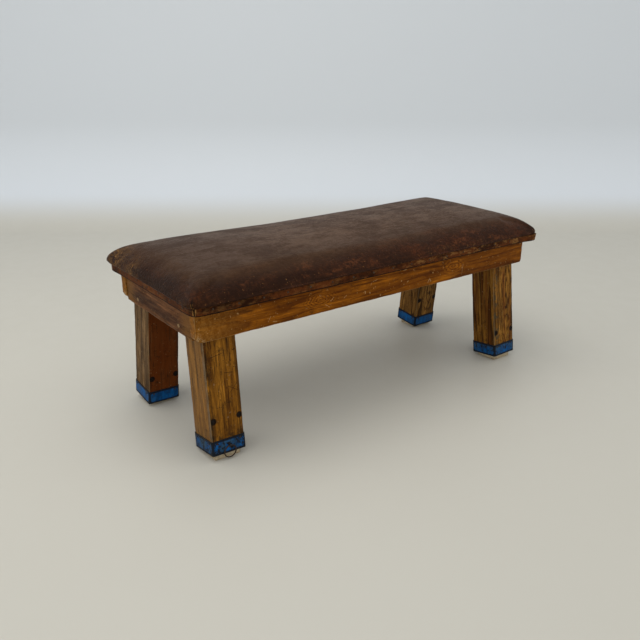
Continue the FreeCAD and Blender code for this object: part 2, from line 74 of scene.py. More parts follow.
# the cross pins' distance from the middle of a post, and their heights on the posts
PIN_OFFSET = 35.5 * MM
PIN_HEIGHTS = {"front_left": 88 * MM, "back_left": 78 * MM, "front_right": 77 * MM,
               "back_right": 100 * MM}
BORE_DEPTH = 3 * MM

# the cells that a piece is cut into, so that it can be worn: axis and about how long
RAIL_CELLS = ((0, 7 * MM), (2, 6 * MM), (1, 8 * MM))
END_RAIL_CELLS = ((1, 7 * MM), (2, 6 * MM))
POST_CELLS = ((2, 8 * MM), (0, 9 * MM), (1, 9 * MM))
HEAD_CELLS = ((2, 30 * MM),)
BAND_CELLS = ((2, 4 * MM), (0, 6 * MM), (1, 6 * MM))
PAD_CELLS = ((0, 6 * MM), (1, 6 * MM))
CUSHION_CELL = 11 * MM
STRIP_CELL = 4 * MM

# how far the long rails' ragged ends reach in, and the deepest bite out of them
RAGGED_REACH = 12 * MM
RAGGED_BITE = 2.2 * MM

# room left between pieces, so that no two faces lie in one place, and half of a corner slit
HEAD_ROOM = 0.1 * MM
STRIP_ROOM = 0.15 * MM
HEM_ROOM = 0.2 * MM
DECK_ROOM = 0.3 * MM
HALF_SLIT = 1.6 * MM

# the line at which the hide leaves the strips and steps out, the height over it in which tacks and
# pleats show, the pleats at a corner, the top of the corner seams, and the tacks' spacing
CREASE = RAIL_HIGH.z + 20.5 * MM
CREASE_STEP = 2.3 * MM
BULGE = 26 * MM
PLEAT_TURNS = 14.0
SEAM_TOP = 0.432
TACK_PITCH = 67.5 * MM

# corners whose stuffing has slumped: how far outwards, how far down, how little it is tucked in
CORNER_SLUMPS = (((-1, 1), 4.5 * MM, 2 * MM, 0.0), ((1, -1), 4.5 * MM, 8 * MM, 0.8),
                 ((1, 1), 0, 1 * MM, 0.0))
SLUMP_REACH = 0.08

CLOTH_FRAMES = 20

# swellings along the top: middle, half width, height
HUMPS = ((-0.42, 0.17, 2.8 * MM), (0.50, 0.16, 1.6 * MM))

# corners at which the strips have come loose, and how far they stand off
STRIP_FLARES = (((1, -1), 11 * MM), ((-1, 1), 4 * MM))
FLARE_REACH = 0.045

# how much a knot is shortened along the grain, for each way that the grain can run
KNOT_SQUASH = {"X": 0.55, "Y": 0.4, "Z": 0.26}

# each long rail's wear pattern, grain shift, knots (across, up, radius, turns) and scratches
# (start, end, width)
RAIL_WOODS = {
    "front": (1.0, 0.3, ((-0.221, 0.347, 0.028, 5.0), (0.265, 0.352, 0.026, 3.0)),
              (((-0.378, 0.323), (-0.369, 0.336), 1.0 * MM), ((-0.352, 0.318), (-0.364, 0.321), 1.2 * MM),
               ((-0.186, 0.337), (-0.176, 0.345), 1.2 * MM), ((-0.143, 0.336), (-0.134, 0.342), 1.0 * MM),
               ((-0.204, 0.330), (-0.190, 0.322), 0.9 * MM), ((-0.045, 0.3620), (-0.028, 0.3655), 1.0 * MM),
               ((-0.052, 0.352), (-0.049, 0.360), 0.9 * MM), ((0.066, 0.3735), (0.078, 0.3750), 1.1 * MM),
               ((0.163, 0.320), (0.170, 0.332), 1.9 * MM), ((0.175, 0.322), (0.171, 0.330), 1.7 * MM),
               ((0.395, 0.3735), (0.430, 0.3790), 0.9 * MM), ((0.302, 0.318), (0.306, 0.352), 0.6 * MM))),
    "back": (5.0, 1.7, ((0.31, 0.352, 0.026, 4.0),),
             (((-0.21, 0.330), (-0.196, 0.341), 1.1 * MM), ((0.08, 0.360), (0.104, 0.357), 0.9 * MM),
              ((0.44, 0.322), (0.452, 0.338), 1.2 * MM))),
}

# each post's pale wood, dark wood, grain shift, year rings, ring contrast, stain and knots
POST_WOODS = {
    "front_left": ((0.262, 0.104, 0.0095), (0.056, 0.017, 0.0014), (0.1, 0.0, 0.0), 8.0, 0.25, 0.95, ()),
    "back_left": ((0.170, 0.090, 0.032), (0.045, 0.021, 0.007), (3.4, 1.0, 0.2), 7.0, 0.30, 1.0, ()),
    "front_right": ((0.232, 0.098, 0.013), (0.046, 0.016, 0.002), (7.2, 0.4, 0.9), 17.0, 0.70, 0.90,
                    (((0.006, -0.045, 0.092), 0.030, 5.0), ((0.018, -0.045, 0.225), 0.036, 4.0))),
    "back_right": ((0.220, 0.100, 0.020), (0.042, 0.017, 0.003), (5.5, 2.2, 0.4), 13.0, 0.60, 1.0,
                   (((0.010, -0.045, 0.125), 0.026, 4.0),)),
}

# start, end and width of the drying cracks in the front left post's front face
POST_CRACKS = (((-0.030, 0.247), (0.006, 0.253), 1.0 * MM), ((0.004, 0.203), (0.028, 0.200), 1.1 * MM),
               ((-0.012, 0.176), (-0.015, 0.146), 1.2 * MM), ((0.012, 0.168), (0.040, 0.150), 0.8 * MM),
               ((0.016, 0.150), (0.038, 0.172), 0.8 * MM), ((-0.018, 0.236), (-0.022, 0.180), 0.8 * MM),
               ((0.024, 0.250), (0.022, 0.214), 0.8 * MM), ((-0.004, 0.128), (-0.008, 0.062), 0.9 * MM))

# how worn the paint of each shoe band is
BAND_WEAR = {"front_left": 1.0, "back_left": 0.35, "front_right": 0.85, "back_right": 0.3}

# the floor's half length, the backdrop's height, and the bend between them
COVE_HALF = 11.0
COVE_HEIGHT = 5.0
COVE_BEND = 0.55
COVE_BEND_STEPS = 24

# the first colour is painted shade under the cushion's bulge, and STRIP_SHADE is painted shade along the
# strips' lower edge
CREASE_SHADE = (0.004, 0.002, 0.001)
SEAM_BLACK = (0.003, 0.002, 0.001)
STRIP_SHADE = (0.005, 0.003, 0.002)
PIN_STAIN = (0.006, 0.004, 0.003)
SCRATCHED = (0.46, 0.29, 0.13)


# --- settings ------------------------------------------------------------------------------

def length(name, description, default):
    return bpy.props.FloatProperty(name=name, description=description, default=default,
                                   unit="LENGTH", precision=4)


def angle(name, description, degrees):
    return bpy.props.FloatProperty(name=name, description=description,
                                   default=math.radians(degrees), subtype="ANGLE")


def amount(name, description, default):
    return bpy.props.FloatProperty(name=name, description=description, default=default,
                                   subtype="FACTOR")


def colour(name, description, default):
    return bpy.props.FloatVectorProperty(name=name, description=description, default=default,
                                         subtype="COLOR", size=3, min=0.0, max=1.0)


class BenchTopSettings(bpy.types.PropertyGroup):
    hide_thick: length("Hide", "Thickness of the leather", 2.5 * MM)
    widest: length("Widest height", "Height of the cushion's widest line", 0.412)
    shoulder: length("Shoulder", "Width of the roll-over from the edge to the crown", 0.080)
    rise: length("Rise", "Height of the roll-over", 0.0435)
    crown: length("Crown", "Rise of the middle over the sides", 0.0215)
    sag: length("Sag", "Drop of the middle of the bench against its ends", 0.009)
    bow: length("Bow", "How far the sides pull in between the corners", 4.5 * MM)
    squareness: bpy.props.FloatProperty(name="Squareness", default=8.0,
                                        description="Exponent of the cushion's plan corners")
    ease: length("Ease", "Width added before the stuffing draws the sides in", 2 * MM)
    swell: length("Swell", "Most that the stuffing may move the hide", 3 * MM)
    top_colour: colour("Top", "Hide where it is sat on", (0.058, 0.027, 0.011))
    side_colour: colour("Sides", "Hide on the sides", (0.038, 0.0115, 0.0030))
    scuff_colour: colour("Scuffs", "Hide rubbed to its flesh colour", (0.34, 0.165, 0.048))
    strip_colour: colour("Strip", "Edge strip leather", (0.098, 0.026, 0.0050))


class BenchFrameSettings(bpy.types.PropertyGroup):
    worn_corner: length("Worn corner", "Radius of the rails' left lower corners", 0.020)
    crisp_corner: length("Crisp corner", "Radius of the rails' right lower corners", 0.009)
    arris: length("Arris", "Rounding of the rails' edges", 1.8 * MM)
    wear: length("Wear", "Depth of the wear along edges", 0.9 * MM)
    rail_light: colour("Rail light", "Pale wood between the grain lines", (0.262, 0.080, 0.0030))
    rail_dark: colour("Rail dark", "Dark grain lines", (0.098, 0.025, 0.0010))
    end_light: colour("End rail light", "Pale wood of the end rails", (0.160, 0.060, 0.018))
    end_dark: colour("End rail dark", "Grain lines of the end rails", (0.040, 0.013, 0.004))


class BenchPostSettings(bpy.types.PropertyGroup):
    side: length("Side", "Side of the square posts", 0.090)
    lean_side: angle("Lean out", "Lean towards the front or back", 6.69)
    lean_end: angle("Lean end", "Lean towards the nearer end", 1.01)
    foot: length("Foot height", "Height of a post's lower end", 12.9 * MM)
    head_start: length("Head start", "Where a post's upper part begins, before it is trimmed", 0.15)
    arris: length("Arris", "Rounding of the posts' edges", 3.2 * MM)
    wear: length("Wear", "Depth of the wear along edges", 1.3 * MM)
    bore: length("Bore", "Diameter of the cross pins' bores", 11.4 * MM)
    band_height: length("Band height", "Height of the shoe bands", 37.6 * MM)
    band_thick: length("Band sheet", "Sheet thickness of the shoe bands", 1.5 * MM)
    band_colour: colour("Band", "Blue paint", (0.001, 0.070, 0.230))


class BenchRingSettings(bpy.types.PropertyGroup):
    radius: length("Radius", "Radius of the ring's centre line", 16 * MM)
    wire: length("Wire", "Diameter of the ring's wire", 3 * MM)
    gap: angle("Gap", "Opening left between the wire's ends", 5.0)


class BenchStageSettings(bpy.types.PropertyGroup):
    camera: bpy.props.FloatVectorProperty(name="Camera", description="Camera position",
                                          default=(-1.2511, -1.5945, 0.9430), unit="LENGTH", size=3)
    heading: angle("Heading", "Camera heading from +Y towards +X", 36.686)
    dip: angle("Dip", "Camera dip below the horizon", 20.664)
    lens: bpy.props.FloatProperty(name="Lens", description="Focal length in millimetres",
                                  default=40.40)
    floor_colour: colour("Floor", "Pale floor", (0.545, 0.515, 0.445))
    wall_away: length("Backdrop distance", "From the bench to the backdrop", 2.35)
    wall_colour: colour("Backdrop", "Pale backdrop", (0.655, 0.68, 0.705))
    light: bpy.props.FloatProperty(name="Light", description="Power of the overhead light",
                                   default=17.0, unit="POWER")
    sky: amount("Sky", "Strength of the light from all round", 1.01)


# --- mesh helpers --------------------------------------------------------------------------

def unit(value):
    """The value, kept between 0 and 1."""
    return max(0.0, min(1.0, value))


def link_mesh(mesh, name, material):
    """A smooth object from a bmesh."""
    data = bpy.data.meshes.new(name)
    mesh.to_mesh(data)
    mesh.free()
    item = bpy.data.objects.new(name, data)
    bpy.context.scene.collection.objects.link(item)
    data.materials.append(material)
    for face in data.polygons:
        face.use_smooth = True
    return item


def finish_piece(mesh, name, material, body, replaced):
    """Turn a bmesh into a named piece of the bench that rides on a body."""
    piece = link_mesh(mesh, name, material)
    piece.data.set_sharp_from_angle(angle=SHARP)
    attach(piece, body)
    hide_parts(*replaced)
    return piece


def cuboid(low, high):
    """A box between two corners."""
    mesh = bmesh.new()
    low, high = Vector(low), Vector(high)
    size = high - low
    place = Matrix.Translation((low + high) / 2) @ Matrix.Diagonal((*size, 1))
    bmesh.ops.create_cube(mesh, size=1.0, matrix=place)
    return mesh


def bevel_edges(mesh, edges, offset, segments):
    bmesh.ops.bevel(mesh, geom=edges, offset=offset, offset_type="OFFSET", segments=segments,
                    profile=0.5, affect="EDGES", material=-1, clamp_overlap=True)


def bevel_arrises(mesh, offset, segments):
    """Round every sharp edge."""
    limit = math.radians(30)
    sharp = [edge for edge in mesh.edges if edge.is_manifold and edge.calc_face_angle() > limit]
    bevel_edges(mesh, sharp, offset, segments)


def upright_edges(mesh, longer):
    """The edges that climb by more than a length."""
    return [edge for edge in mesh.edges if abs(edge.verts[0].co.z - edge.verts[1].co.z) > longer]


def cut(mesh, point, normal, **options):
    geometry = mesh.verts[:] + mesh.edges[:] + mesh.faces[:]
    bmesh.ops.bisect_plane(mesh, geom=geometry, dist=TOUCHING, plane_co=point, plane_no=normal, **options)


def slice_at(mesh, axis, places):
    """Cut loops square to an axis, so that the faces can bend there."""
    normal = Vector([1.0 if index == axis else 0.0 for index in range(3)])
    for place in places:
        cut(mesh, normal * place, normal)


def even(low, high, step):
    """Places spread evenly between two limits, about a step apart."""
    count = max(1, round((high - low) / step))
    return [low + (high - low) * index / count for index in range(1, count)]


def divide(mesh, low, high, steps):
    """Cut loops all along a piece: for each axis given, about a step apart."""
    for axis, step in steps:
        slice_at(mesh, axis, even(low[axis], high[axis], step))


def clip(mesh, point, outward):
    """Cut away what lies beyond a plane and close the cut."""
    cut(mesh, point, outward, clear_outer=True)
    close_holes(mesh)


def close_holes(mesh):
    bmesh.ops.holes_fill(mesh, edges=[edge for edge in mesh.edges if edge.is_boundary], sides=0)


def face_outward(mesh):
    bmesh.ops.recalc_face_normals(mesh, faces=mesh.faces[:])


def store_grain(mesh, low, high):
    """Keep each point's own place, and its distance from the faces of the sawn piece, axis by axis."""
    grain = mesh.verts.layers.float_vector.new(GRAIN)
    rim = mesh.verts.layers.float_vector.new(RIM)
    for vert in mesh.verts:
        vert[grain] = vert.co
        vert[rim] = Vector([min(vert.co[axis] - low[axis], high[axis] - vert.co[axis])
                            for axis in range(3)])
    return rim


def wear_down(mesh, depth, scale, seed, ripple=0.12 * MM):
    """Rub the edges of a sawn piece away unevenly, and leave faint hollows in its faces."""
    rim = mesh.verts.layers.float_vector[RIM]
    shift = Vector((seed * 3.7, seed * 1.3, seed * 2.1))
    mesh.normal_update()
    moves = []
    for vert in mesh.verts:
        near = sorted(vert[rim])[1]
        edge = math.exp(-max(near, 0.0) / (3.5 * MM))
        rub = max(0.0, noise.fractal(vert.co * scale + shift, 0.8, 2.0, 4) + 0.25)
        hollow = (0.5 + 0.5 * noise.noise(vert.co * 22 + shift)) * ripple
        moves.append(vert.normal * -(hollow + edge * rub * depth))
    apply_moves(mesh, moves)


def apply_moves(mesh, moves):
    for vert, move in zip(mesh.verts, moves):
        vert.co += move


def join(meshes):
    """One bmesh from several, layers kept."""
    whole = meshes[0]
    for other in meshes[1:]:
        data = bpy.data.meshes.new("part")
        other.to_mesh(data)
        other.free()
        whole.from_mesh(data)
        bpy.data.meshes.remove(data)
    return whole


# --- shader helpers ------------------------------------------------------------------------

def toned(base, *factors):
    """A colour scaled by one factor, or by a factor for each of its parts."""
    if len(factors) == 1:
        factors = factors * 3
    return tuple(min(1.0, part * factor) for part, factor in zip(base, factors))


class Value:
    """What a material works out at each point. Arithmetic on it adds nodes."""

    def __init__(self, shader, socket):
        self.shader = shader
        self.socket = socket

    def __add__(self, other):
        return self.shader.math("ADD", self, other)

    def __sub__(self, other):
        return self.shader.math("SUBTRACT", self, other)

    def __mul__(self, other):
        return self.shader.math("MULTIPLY", self, other)

    def __abs__(self):
        return self.shader.math("ABSOLUTE", self)

    def inverse(self):
        """1 where the value is 0, and 0 where it is 1."""
        return self.shader.math("SUBTRACT", 1.0, self, clamp=True)

    def ramp(self, low, high, to_low=0.0, to_high=1.0):
        """A smooth step between two results while the value runs between two limits."""
        inputs = {"Value": self, "From Min": low, "From Max": high,
                  "To Min": to_low, "To Max": to_high}
        return self.shader.node("ShaderNodeMapRange", "Result", inputs, interpolation_type="SMOOTHSTEP")


class Shader:
    """A material's node tree, with short calls for the nodes it needs."""

    def __init__(self, name, specular, metallic=0.0):
        self.material = bpy.data.materials.new(name)
        self.material.use_nodes = True
        self.tree = self.material.node_tree
        self.surface = self.tree.nodes["Principled BSDF"].inputs
        self.surface["Metallic"].default_value = metallic
        self.surface["Specular IOR Level"].default_value = specular

    def put(self, value, socket):
        """Link a value to a socket, or set the socket to a plain colour, vector or number."""
        if isinstance(value, Value):
            self.tree.links.new(value.socket, socket)
        elif socket.type == "RGBA":
            socket.default_value = (*value[:3], 1.0)
        else:
            socket.default_value = value

    def node(self, kind, output, inputs=(), **settings):
        """Add a node and give one of its outputs."""
        made = self.tree.nodes.new(kind)
        for key, value in settings.items():
            setattr(made, key, value)
        for key, value in dict(inputs).items():
            self.put(value, made.inputs[key])
        return Value(self, made.outputs[output])

    def attribute(self, name):
        return self.node("ShaderNodeAttribute", "Vector", attribute_name=name)

    def object_place(self):
        return self.node("ShaderNodeTexCoord", "Object")

    def mapped(self, vector, stretch=(1, 1, 1), shift=(0, 0, 0), turn=(0, 0, 0)):
        inputs = {"Vector": vector, "Scale": stretch, "Location": shift, "Rotation": turn}
        return self.node("ShaderNodeMapping", "Vector", inputs)

    def noise(self, vector, scale, detail=4.0, roughness=0.55, distortion=0.0, stretch=None, turn=None):
        """Clouds of values about 0.5; a stretch below 1 draws them out along its axis."""
        if stretch or turn:
            vector = self.mapped(vector, stretch or (1, 1, 1), turn=turn or (0, 0, 0))
        inputs = {"Vector": vector, "Scale": scale, "Detail": detail, "Roughness": roughness,
                  "Distortion": distortion}
        return self.node("ShaderNodeTexNoise", "Fac", inputs)

    def cells(self, vector, scale, feature="DISTANCE_TO_EDGE"):
        inputs = {"Vector": vector, "Scale": scale, "Randomness": 1.0}
        return self.node("ShaderNodeTexVoronoi", "Distance", inputs, feature=feature)

    def math(self, operation, first, second=0.0, clamp=False):
        return self.node("ShaderNodeMath", 0, {0: first, 1: second}, operation=operation, use_clamp=clamp)

    def vector_math(self, operation, first, second=(0, 0, 0), output="Vector"):
        return self.node("ShaderNodeVectorMath", output, {0: first, 1: second}, operation=operation)

    def most(self, *values):
        result = values[0]
        for value in values[1:]:
            result = self.math("MAXIMUM", result, value)
        return result

    def mix(self, factor, first, second):
        return self.node("ShaderNodeMix", 2, {"Factor": factor, 6: first, 7: second},
                         data_type="RGBA", clamp_factor=True)

    def coats(self, base, *layers):
        """Lay colours over one another, each as thickly as its factor says."""
        for factor, layer in layers:
            base = self.mix(factor, base, layer)
        return base

    def mix_value(self, factor, first, second):
        return self.node("ShaderNodeMix", "Result", {"Factor": factor, "A": first, "B": second},
                         data_type="FLOAT", clamp_factor=True)

    def axes(self, vector):
        parts = self.tree.nodes.new("ShaderNodeSeparateXYZ")
        self.put(vector, parts.inputs["Vector"])
        return [Value(self, output) for output in parts.outputs]

    def warped(self, place, scale, reach):
        """Coordinates pushed about by noise, so that cells lose their straight edges."""
        push = self.node("ShaderNodeTexNoise", "Color", {"Vector": place, "Scale": scale, "Detail": 3.0})
        push = self.vector_math("SUBTRACT", push, (0.5, 0.5, 0.5))
        push = self.vector_math("MULTIPLY", push, (reach, reach, reach))
        return self.vector_math("ADD", place, push)

    def arris(self, width):
        """1 along the edges of a sawn piece, fading out over a width."""
        across, deep, up = [part.ramp(width, 0.0) for part in self.axes(self.attribute(RIM))]
        return self.math("SUBTRACT", across + deep + up, 1.0, clamp=True)

    def spot(self, vector, centre, radius, fade):
        """1 inside a ball, fading out."""
        away = self.vector_math("DISTANCE", vector, centre, "Value")
        return away.ramp(radius + fade, radius)

    def stroke(self, across, up, start, end, width):
        """1 along a short straight line between two points of a plane."""
        run, climb = end[0] - start[0], end[1] - start[1]
        span = math.hypot(run, climb)
        run, climb = run / span, climb / span
        across, up = across - start[0], up - start[1]
        along = across * run + up * climb
        beside = abs(across * climb - up * run)
        inside = along.ramp(-width, width) * along.ramp(span + width, span - width)
        return inside * beside.ramp(width, 0.3 * width)

    def strokes(self, across, up, marks):
        return self.most(*[self.stroke(across, up, *mark) for mark in marks])

    def finish(self, base, roughness, height, strength, depth):
        """Give the surface its colour, roughness and fine relief."""
        self.put(base, self.surface["Base Color"])
        self.put(roughness, self.surface["Roughness"])
        inputs = {"Height": height, "Strength": strength, "Distance": depth}
        self.put(self.node("ShaderNodeBump", "Normal", inputs), self.surface["Normal"])
        return self.material


# --- materials -----------------------------------------------------------------------------

def wood(name, along, light, dark, lines, shift=(0, 0, 0), contrast=0.6, stain=0.5,
         worn=(0.30, 0.22, 0.13), worn_width=3 * MM, grime=0.7, dirt_and_shade=(0.010, 0.005, 0.002), knots=(),
         scratches=(), pins=(), nicks=0.3, tint=None, overhang_shade_height=None, sawn=True):
    """Varnished wood: year rings, fibres, stains, nicks and, on sawn pieces, rubbed arrises; with a painted
    shade band under an overhang when its height is given.
    """
    shader = Shader(name, specular=0.05)
    coords = shader.attribute(GRAIN) if sawn else shader.object_place()
    moved = shader.mapped(coords, shift=shift)
    long_way, short_way = [
        shader.mapped(coords, [stretch if axis == along else 1.0 for axis in "XYZ"], shift)
        for stretch in (0.05, 0.16)]

    ring = shader.math("FRACT", shader.noise(long_way, 11.0, 3.0, 0.5, 0.2) * lines)
    ring = shader.math("POWER", ring, 2.5) * ring.ramp(1.0, 0.93) * contrast
    bend = (shader.noise(short_way, 40.0, 5.0, 0.65) - 0.5) * (34 * MM)
    squash = [KNOT_SQUASH[along] if axis == along else 1.0 for axis in "XYZ"]
    for centre, radius, turns in knots:
        offset = shader.vector_math("SUBTRACT", coords, centre)
        offset = shader.vector_math("MULTIPLY", offset, squash)
        away = shader.vector_math("LENGTH", offset, output="Value") + bend
        turn = shader.math("PINGPONG", away * (turns / radius), 0.5).ramp(0.02, 0.30, 0.34, -0.08)
        ring = shader.mix_value(away.ramp(1.30 * radius, 0.55 * radius), ring, turn)
    fibre = shader.noise(long_way, 170.0, 7.0, 0.75, 0.2)
    flame = shader.noise(short_way, 55.0, 8.0, 0.76, 0.7)
    broad = shader.noise(moved, 8.0, 3.0, 0.6)
    tone = ring + fibre * 1.25 + flame * 1.35 + broad * 0.40
    base = shader.coats(light, (tone.ramp(1.22, 1.95), dark),
                        (tone.ramp(1.48, 1.15), toned(light, 1.55, 1.65, 1.9)))
    if tint is not None:
        base = tint(shader, coords, base)
    # painted shade: a dark band along the top of the face, where the leather top overhangs it; it uses the
    # dirt colour
    if overhang_shade_height is not None:
        painted_shade = shader.axes(coords)[2].ramp(overhang_shade_height - 7.5 * MM, overhang_shade_height - 3.8 * MM, 0.0, 0.96)
        base = shader.mix(painted_shade, base, dirt_and_shade)

    streak = shader.noise(long_way, 84.0, 7.0, 0.78, 0.8).ramp(0.57, 0.66)
    pore = shader.noise(short_way, 210.0, 4.0, 0.7).ramp(0.60, 0.68)
    blotch = shader.noise(moved, 30.0, 7.0, 0.75).ramp(0.56, 0.70)
    speck = shader.noise(moved, 170.0, 3.0, 0.6).ramp(0.66, 0.71)
    hair = shader.noise(long_way, 260.0, 4.0, 0.7).ramp(0.58, 0.66)
    soil = shader.most(streak * 0.65, pore * 0.7, blotch * 0.9, hair * 0.8, speck) * stain
    nick = shader.noise(moved, 125.0, 3.0, 0.55, turn=(0.4, 0.5, 0.3)).ramp(0.65, 0.69)
    nick = nick * flame.ramp(0.40, 0.56) * nicks
    base = shader.coats(base, (soil, dirt_and_shade), (nick, worn))
    rough = flame.ramp(0.3, 0.7, 0.40, 0.58)
    height = fibre * 0.6 + ring * -0.25 - soil * 0.35
    for centre, radius in pins:
        base = shader.mix(shader.spot(coords, centre, radius, 2.6 * MM) * 0.92, base, PIN_STAIN)
    if sawn:
        ragged = shader.noise(short_way, 46.0, 7.0, 0.78, 0.5)
        rubbed = shader.arris(worn_width) * ragged.ramp(0.36, 0.52)
        soiled = shader.arris(5 * worn_width) * ragged.ramp(0.46, 0.58) * grime
        base = shader.coats(base, (soiled, dirt_and_shade), (rubbed * 0.85, worn))
        rough = rough + rubbed * 0.2
    if scratches:
        across, _, up = shader.axes(coords)
        jog = (shader.noise(moved, 160.0, 2.0) - 0.5) * (4 * MM)
        broken = shader.noise(moved, 330.0, 3.0, 0.6).ramp(0.36, 0.54)
        mark = shader.strokes(across, up + jog, scratches) * broken * 0.75
        base = shader.mix(mark, base, SCRATCHED)
        height = height - mark * 0.6
    return shader.finish(base, rough, height, 0.45, 0.8 * MM)


def hide(name, top, side, scuff):
    """Old saddle leather: greyed and polished on top, nearly black on the sides, with painted shade under
    its bulge and on the left and front of its crown.
    """
    shader = Shader(name, specular=0.065)
    place = shader.object_place()
    across, deep, up = shader.axes(place)
    cloud = shader.noise(place, 4.2, 6.0, 0.66, 0.4)
    mottle = shader.noise(place, 19.0, 7.0, 0.70, 0.5)
    smear = shader.noise(place, 7.0, 6.0, 0.68, 0.6, (1.0, 3.2, 3.2), (0, 0, 0.35))
    crumb = shader.noise(place, 115.0, 6.0, 0.72)
    brushed = shader.noise(place, 26.0, 7.0, 0.76, 0.8, (1.0, 4.0, 4.0), (0, 0, -0.5))
    tone = cloud * 0.6 + mottle * 0.5 + smear * 0.45 + crumb * 0.45 + (brushed - 0.5) * 0.55
    tone = tone.ramp(0.82, 1.18)
    pale = toned(top, 1.50, 1.55, 1.60)
    dull = toned(top, 0.62, 0.55, 0.50)
    # painted shade: the crown darker to the left and towards the front, where the top shows less sheen
    painted_shade = shader.most(across.ramp(-0.10, -0.50), deep.ramp(-0.05, -0.21))
    crown = shader.coats(dull, (tone, pale), (painted_shade * 0.55, dull))

    red = toned(side, 1.9, 1.5, 1.2)
    black = toned(side, 0.45)
    bright = toned(side, 2.9, 2.9, 3.0)
    patch = shader.noise(place, 6.5, 7.0, 0.70, 0.5, (1.0, 1.0, 2.0))
    patch = patch + across.ramp(-0.45, 0.25, -0.07, 0.05)
    drawn = shader.noise(place, 44.0, 7.0, 0.74, 0.4, (0.22, 0.22, 1.0))
    pale_patch = drawn.ramp(0.52, 0.64) * crumb.ramp(0.42, 0.56) * across.ramp(-0.58, -0.40) * 0.6
    flank = shader.coats(black,
                         (patch.ramp(0.36, 0.52), side),
                         (patch.ramp(0.48, 0.72), red),
                         (mottle.ramp(0.58, 0.42) * 0.6, black),
                         (crumb.ramp(0.54, 0.40) * 0.6, black),
                         (crumb.ramp(0.54, 0.68) * 0.28, bright),
                         (drawn.ramp(0.47, 0.36) * 0.85, black),
                         (pale_patch, bright))

    level = up + (shader.noise(place, 6.0, 6.0, 0.7) - 0.5) * 0.034
    worn_top = level.ramp(0.434, 0.468)
    from_end = abs(across) - COVER_HIGH.x
    from_side = abs(deep) - COVER_HIGH.y
    seam = abs(from_end - from_side)
    seam_zone = from_end.ramp(-0.032, -0.016) * from_side.ramp(-0.032, -0.016) * up.ramp(0.436, 0.424)
    raw = seam_zone * seam.ramp(5 * MM, 3 * MM) * up.ramp(0.424, 0.412) * crumb.ramp(0.40, 0.56) * 0.8
    crack_zone = worn_top.inverse() * 0.5 + across.ramp(-0.46, -0.60) * 0.5
    crack_zone = shader.math("ADD", crack_zone, mottle.ramp(0.5, 0.65) * 0.15, clamp=True)
    crack = shader.cells(shader.warped(place, 26.0, 0.014), 58.0).ramp(0.07, 0.0) * crack_zone
    tip = shader.most(shader.spot(place, (-0.592, 0.195, 0.422), 0.010, 0.075),
                      shader.spot(place, (-0.592, 0.095, 0.412), 0.005, 0.060) * 0.75)
    low = level.ramp(0.436, 0.412)
    low_front = low * across.ramp(0.02, 0.14) * across.ramp(0.44, 0.30) * deep.ramp(0.0, -0.1) * 0.30
    low_left = low * across.ramp(-0.50, -0.58) * 0.12
    flake = shader.noise(place, 105.0, 7.0, 0.80).ramp(0.54, 0.64)
    flake = flake * shader.most(tip * 0.8, low_front, low_left)
    tan = tip * shader.noise(place, 60.0, 6.0, 0.75).ramp(0.42, 0.58) * 0.55
    fleck = shader.noise(place, 230.0, 2.0, 0.5).ramp(0.71, 0.75) * level.ramp(0.458, 0.425) * 0.55
    graze = shader.noise(place, 4.0, 4.0, 0.7, stretch=(9.0, 46.0, 46.0), turn=(0, 0, 0.9))
    graze = graze.ramp(0.63, 0.70) * cloud.ramp(0.42, 0.58) * 0.35
    base = shader.coats(flank,
                        (worn_top, crown),
                        # painted shade: nearly black under the bulge's widest line, where the hide turns in
                        # over the strips
                        (up.ramp(0.4105, 0.4080, 0.0, 0.75), CREASE_SHADE),
                        (raw, scuff),
                        (seam_zone * seam.ramp(2.6 * MM, 1.2 * MM), SEAM_BLACK),
                        (crack * 0.7, black),
                        (flake, scuff),
                        (tan, toned(scuff, 0.42)),
                        (fleck, scuff),
                        (graze, pale))
    rough = tone.ramp(0.0, 1.0, 0.52, 0.38) + flake * 0.25
    grain = shader.noise(place, 420.0, 4.0, 0.6)
    pore = shader.cells(place, 480.0, "F1")
    height = grain * 0.4 + pore * 0.4 - crack * 0.9 + mottle * 0.8 + crumb * 0.5
    return shader.finish(base, rough, height, 0.42, 1.4 * MM)


def strip_leather(name, brown, scuff):
    """The edge strip: thinner, redder, rubbed pale along its edges and raw at its ends, with painted shade
    along its top and bottom edges.
    """
    shader = Shader(name, specular=0.045)
    place = shader.object_place()
    across, deep, up = shader.axes(place)
    rim_along, _, rim_up = shader.axes(shader.attribute(RIM))
    mottle = shader.noise(place, 48.0, 7.0, 0.75)
    streak = shader.noise(place, 95.0, 5.0, 0.7, stretch=(0.25, 0.25, 1.0))
    tone = shader.noise(place, 6.0, 6.0, 0.7) + mottle * 0.6 + streak * 0.4
    dark = toned(brown, 0.22)
    ragged = shader.noise(place, 120.0, 6.0, 0.75).ramp(0.42, 0.58)
    edge = rim_up.ramp(3.0 * MM, 0.0) * ragged * 0.45
    rub = shader.noise(place, 62.0, 7.0, 0.76, stretch=(0.4, 0.4, 1.0)).ramp(0.48, 0.64) * 0.8
    zone = across.ramp(-0.02, 0.20) * deep.ramp(0.0, -0.2) * 0.60 + 0.24
    base = shader.coats(dark,
                        (tone.ramp(0.86, 1.14), brown),
                        (shader.most(edge, rub) * zone, scuff),
                        (rim_along.ramp(4.5 * MM, 1.2 * MM) * ragged * 0.9, scuff),
                        # painted shade: both long edges darkened, under the bulge above and at the gap over
                        # the rail below; the lower edge is darkened again with STRIP_SHADE
                        (rim_up.ramp(0.2 * MM, 2.2 * MM, 0.85, 0.0) * ragged.inverse(), dark),
                        (up.ramp(COVER_LOW.z + 1.6 * MM, COVER_LOW.z + 3.6 * MM, 0.92, 0.0), STRIP_SHADE))
    rough = mottle.ramp(0.3, 0.7, 0.46, 0.62)
    height = shader.noise(place, 380.0, 4.0, 0.6) + mottle * 1.2
    return shader.finish(base, rough, height, 0.4, 1.0 * MM)


